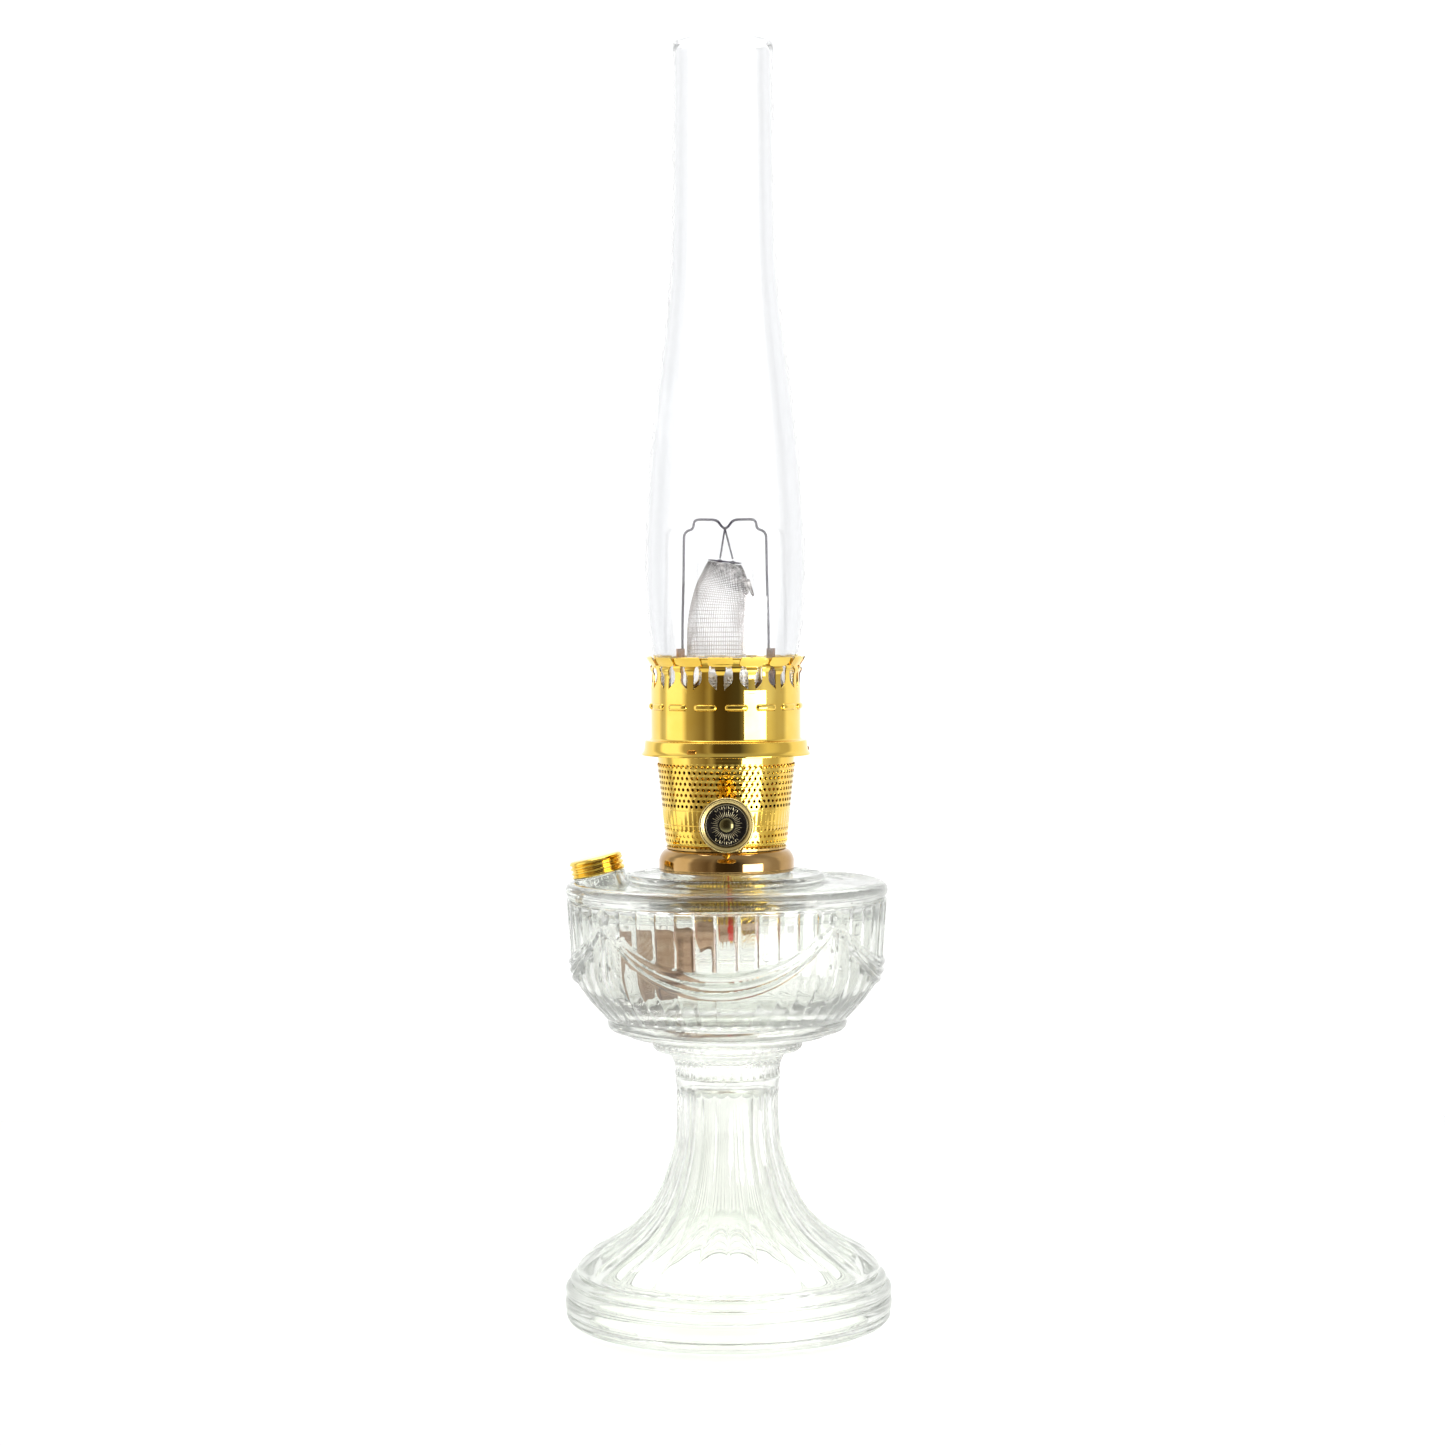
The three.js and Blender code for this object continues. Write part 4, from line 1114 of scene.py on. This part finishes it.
def mantle_net():
    """The gauze sock: a net of fine threads, skewed to one side, gathered under the bar."""
    box = Box("mantle_sock")
    hem, top = box.low.z, box.high.z - 1.1
    # Height, then how far the middle is to the right, and half the net's width and depth.
    levels = [(hem, -4.6, 14.8, 14.2), (330, -4.4, 14.5, 13.8), (343, -3.6, 14.0, 12.6)]
    levels += [(351, -2.4, 13.3, 10.8)]
    levels += [(357, -1.2, 12.2, 8.6), (361.5, -0.3, 10.9, 6.0), (365, 0, 9.6, 3.4), (top, 0.0, 8.2, 1.3)]

    def crumpled(t, z, middle, wide, deep):
        crumple = noise.noise(Vector((math.cos(t) * 1.6, math.sin(t) * 1.6, z / 14))) * 0.7
        x = middle + (wide + crumple - 0.3) * math.cos(t)
        y = (deep + crumple - 0.3) * math.sin(t)
        return x, y, z - x * 0.135 * ease(340, 358, z)

    around = 80
    rows = [[crumpled(TAU * k / around, *level) for k in range(around)] for level in curve(levels, 6)]
    verts, faces = [p for row in rows for p in row], []
    for i in range(len(rows) - 1):
        for k in range(around):
            n = (k + 1) % around
            a, b = i * around, (i + 1) * around
            faces.append((a + k, a + n, b + n, b + k))
    obj = make("mantle_net", (verts, faces), 0)
    apply(obj, "WIREFRAME", thickness=0.36 * MM, use_replace=True, use_even_offset=False)
    obj.data.shade_smooth()
    dress(obj, GAUZE, "mantle", ["mantle_sock"])


def mantle_flap():
    """A loose scrap of gauze at the right of the bar."""
    rows = []
    for t in spread(0, 1, 10):
        middle, wide, z = lerp(10.4, 14.4, t), lerp(1.5, 0.25, t), lerp(360, 349, t)
        rows.append([(middle + wide * (j / 3 - 1), -2 - 0.5 * math.sin(0.9 * j), z) for j in range(7)])
    piece("mantle_flap", shell(rows, shifted(rows, dy=0.25)), GAUZE, "mantle", (), 60)


def mantle_ring():
    box = Box("mantle_ring")
    low, high = box.low.z, box.high.z
    profile = [(22.4, low), (23.8, low), (24, low + 0.4), (23.7, low + 1.8), (24, low + 3), (23.8, high)]
    profile += [(22.5, high)]
    ring = revolve(profile + [(22.7, low + 2)], 96, loop=True)
    rows = [[polar(r, a, high - 0.5) for a in spread(-5, 5, 5)] for r in (23.3, 25, 26.2)]
    lugs = [turned(shell(rows, shifted(rows, dz=-1.2)), 90 + 120 * k) for k in range(3)]
    return piece("mantle_carrier", merged(ring, *lugs), SCALED, "mantle", ["mantle_ring"])


# ---------------------------------------------------------------- wick


def wick_tail(name, node, side, stations):
    """A flat tail of the wick that hangs in the font, rippled where it lies slack.

    stations are (height, middle across, depth, half width, how far the edges bend back), below free_below.
    """
    middle, thick, columns, free_below = 15.65, 1.0, 41, 216.2
    share = spread(-1, 1, columns)
    start = 0 if side > 0 else 180
    heights = spread(Box(node).high.z, free_below, 5)
    rows = [[polar(middle, start + side * 58 * u, z) for u in share] for z in heights]
    for z, x, y, half, bow in curve(stations, 10):
        slack = ease(205, 190, z) if z < 205 else 0.0
        row = []
        for u in share:
            ripple = 1.3 * slack * noise.noise(Vector((u * 2.2, z / 17, 3.0 * side)))
            fray = 0.8 * slack * noise.noise(Vector((u * 9, z / 6, 7.0 * side))) * (abs(u) ** 6)
            row.append((x + u * (half - 0.5 + fray), -side * (y - bow * u * u + ripple), z))
        rows.append(row)

    def behind(x, y, z):
        inwards = 1 - thick / max(8.0, math.hypot(x, y))
        return x * inwards, y * inwards, z

    part = shell(rows, [[behind(*p) for p in row] for row in rows])
    return piece(name, part, COTTON, "wick", [node], 60)


def wick():
    """A cotton tube above the join, and the start of two flat strips below it."""
    box = Box("wick")
    low, high, join = box.low.z, box.high.z, 246.5
    outer, inner = 16.15, 15.15
    profile = [(inner, join)] + [(outer, z) for z in spread(join, high - 0.5, 21)]
    profile += [(outer - 0.25, high), (inner + 0.25, high), (inner, high - 0.5)]
    parts = [revolve(profile, 96, loop=True)]
    heights = (low, low + 3, join - 0.1)
    for start in (-73, 107):
        rows = [[polar(outer, a, z) for a in spread(start, start + 146, 41)] for z in heights]
        parts.append(shell(rows, shrunk(rows, inner / outer)))
    piece("wick_tube", merged(*parts), COTTON, "wick", ["wick"], 60)
    front = [(210, -2.2, 16.6, 14.4, 4), (200.2, -3, 17, 16.5, 4), (197, -9, 19, 21, 4)]
    front += [(195, -21, 23, 27, 5)]
    front += [(190, -22.5, 25, 26.5, 5), (184, -31, 27, 18, 4), (172, -30, 28, 17, 4), (157, -32, 29, 8, 2)]
    rear = [(210, 2.2, 16.6, 14.4, 4), (200.2, 1, 17, 16.5, 4), (195, -3, 20, 18, 4), (188, -12, 25, 15, 4)]
    rear += [(180, -20, 29, 9, 3), (162, -22, 31, 8, 2)]
    wick_tail("wick_front_tail", "wick_tail_front", 1, front)
    wick_tail("wick_rear_tail", "wick_tail_back", -1, rear)


# ---------------------------------------------------------------- pieces that keep their CAD shape


def kept(node, look):
    """The node keeps its CAD shape and takes a material."""
    obj = frame["nodes"][node]
    obj.data.materials.clear()
    obj.data.materials.append(look)
    smooth(obj.data, 30)


# ---------------------------------------------------------------- studio


def studio_wall():
    """Light from all round: white walls behind the lamp, a tall softbox on each side, a dim room in front."""
    world = bpy.data.worlds.new("studio")
    bpy.context.scene.world = world
    world.use_nodes = True
    nodes = Nodes(world.node_tree)
    x, y, z = nodes.split(nodes.node("TexCoord").outputs["Generated"])
    azimuth = nodes.maths("ARCTAN2", x, nodes.maths("MULTIPLY", y, -1.0))
    # Degrees round from -Y towards +X, how bright the studio is there and how warm.
    stops = [(-180, 1.25, 0), (-126, 1.22, 0), (-116, 0.66, 0), (-108, 0.72, 0), (-101, 1.5, 0)]
    stops += [(-72, 1.45, 0)]
    stops += [(-62, 0.52, 0.3), (-48, 0.38, 0.4), (-34, 0.24, 0.6), (-25, 0.42, 0.3), (-17, 0.1, 0.8)]
    stops += [(0, 0.07, 0.8)]
    stops += [(20, 0.08, 0.3), (62, 0.9, 0), (72, 0.82, 0), (84, 0.62, 0.1), (99, 0.62, 0.1), (108, 1.12, 0)]
    stops += [(140, 1.25, 0), (180, 1.25, 0)]
    brightest = 1.6

    def stop(degrees, value, warm):
        level = value / brightest
        return (degrees + 180) / 360, (level, level * (1 - 0.32 * warm), level * (1 - 0.72 * warm))

    walls = nodes.ramp(nodes.range(azimuth, 0.0, 1.0, -math.pi, math.pi), *(stop(*s) for s in stops))
    above = nodes.mix(nodes.range(z, 0.0, 1.0, 0.45, 0.9), walls, (0.3, 0.3, 0.3))
    below = nodes.mix(nodes.range(z, 0.0, 1.0, -0.3, -0.5), above, (0.44, 0.45, 0.43))
    back = nodes.node("Background", Color=below, Strength=brightest)
    nodes.link(back.outputs["Background"], nodes.node("OutputWorld").inputs["Surface"])


def floor():
    """A pale table top with round corners, its front edge close, so that the dim room shows in the metal."""
    wide, back, front, radius = 0.62, 0.6, -0.38, 0.12
    edge = []
    for k, (x, y) in enumerate(((wide, back), (-wide, back), (-wide, front), (wide, front))):
        for i in range(7):
            a = math.radians(90 * k + 15 * i)
            cx, cy = x - math.copysign(radius, x), y - math.copysign(radius, y)
            edge.append((cx + radius * math.cos(a), cy + radius * math.sin(a), -0.0002))
    mesh = bpy.data.meshes.new("floor")
    mesh.from_pydata(edge, [], [tuple(range(len(edge)))])
    obj = bpy.data.objects.new("floor", mesh)
    bpy.context.scene.collection.objects.link(obj)
    look = Look("floor")
    look.set(Roughness=0.7)
    look.colour(look.ramp(look.noise(3.0, 2.0), (0.3, (0.91, 0.91, 0.91)), (0.7, (0.93, 0.93, 0.93))))
    mesh.materials.append(look.material)


def softbox(name, place, aim, size, power):
    light = bpy.data.lights.new(name, "AREA")
    light.shape = "RECTANGLE"
    light.size, light.size_y = size
    light.energy = power
    obj = bpy.data.objects.new(name, light)
    bpy.context.scene.collection.objects.link(obj)
    obj.location = place
    obj.rotation_mode = "QUATERNION"
    obj.rotation_quaternion = (Vector(place) - Vector(aim)).to_track_quat("Z", "Y")


def camera():
    data = bpy.data.cameras.new("camera")
    data.sensor_width = 36
    data.lens = LENS
    obj = bpy.data.objects.new("camera", data)
    bpy.context.scene.collection.objects.link(obj)
    obj.location = EYE
    obj.rotation_euler = (math.radians(90 - EYE_PITCH), math.radians(EYE_ROLL), 0)
    bpy.context.scene.camera = obj


pedestal()
font()
chimney()
collar()
filler_cap()
basket()
basket_lugs()
basket_beading()
deflector_cone()
flame_spreader()
knob()
spindle()
gallery()
gallery_crown()
gallery_louvres()
gallery_dimples()
bail()
hanger_bar()
clip("left_clip", "bail_socket_left", COPPER)
clip("right_clip", "bail_socket_right", SCALED)
mantle_net()
mantle_flap()
mantle_ring()
wick()
hidden = ["burner_thread_ring", "burner_floor", "outer_wick_tube", "draft_tube", "air_duct_left"]
for node in hidden + ["air_duct_right", "raiser_pinion", "wick_carrier", "chimney_seat"]:
    kept(node, INNER_BRASS)
kept("collar_plaster", PLASTER)
kept("cap_liner", CORK)

studio_wall()
floor()
softbox("top_light", (0.0, 0.3, 1.1), (0, 0.15, 0), (0.9, 0.9), 9)
softbox("window_light", (0.46, -0.46, 0.15), (0, 0, 0.20), (0.42, 0.30), 3.2)
camera()
bpy.context.scene.view_settings.view_transform = "Standard"
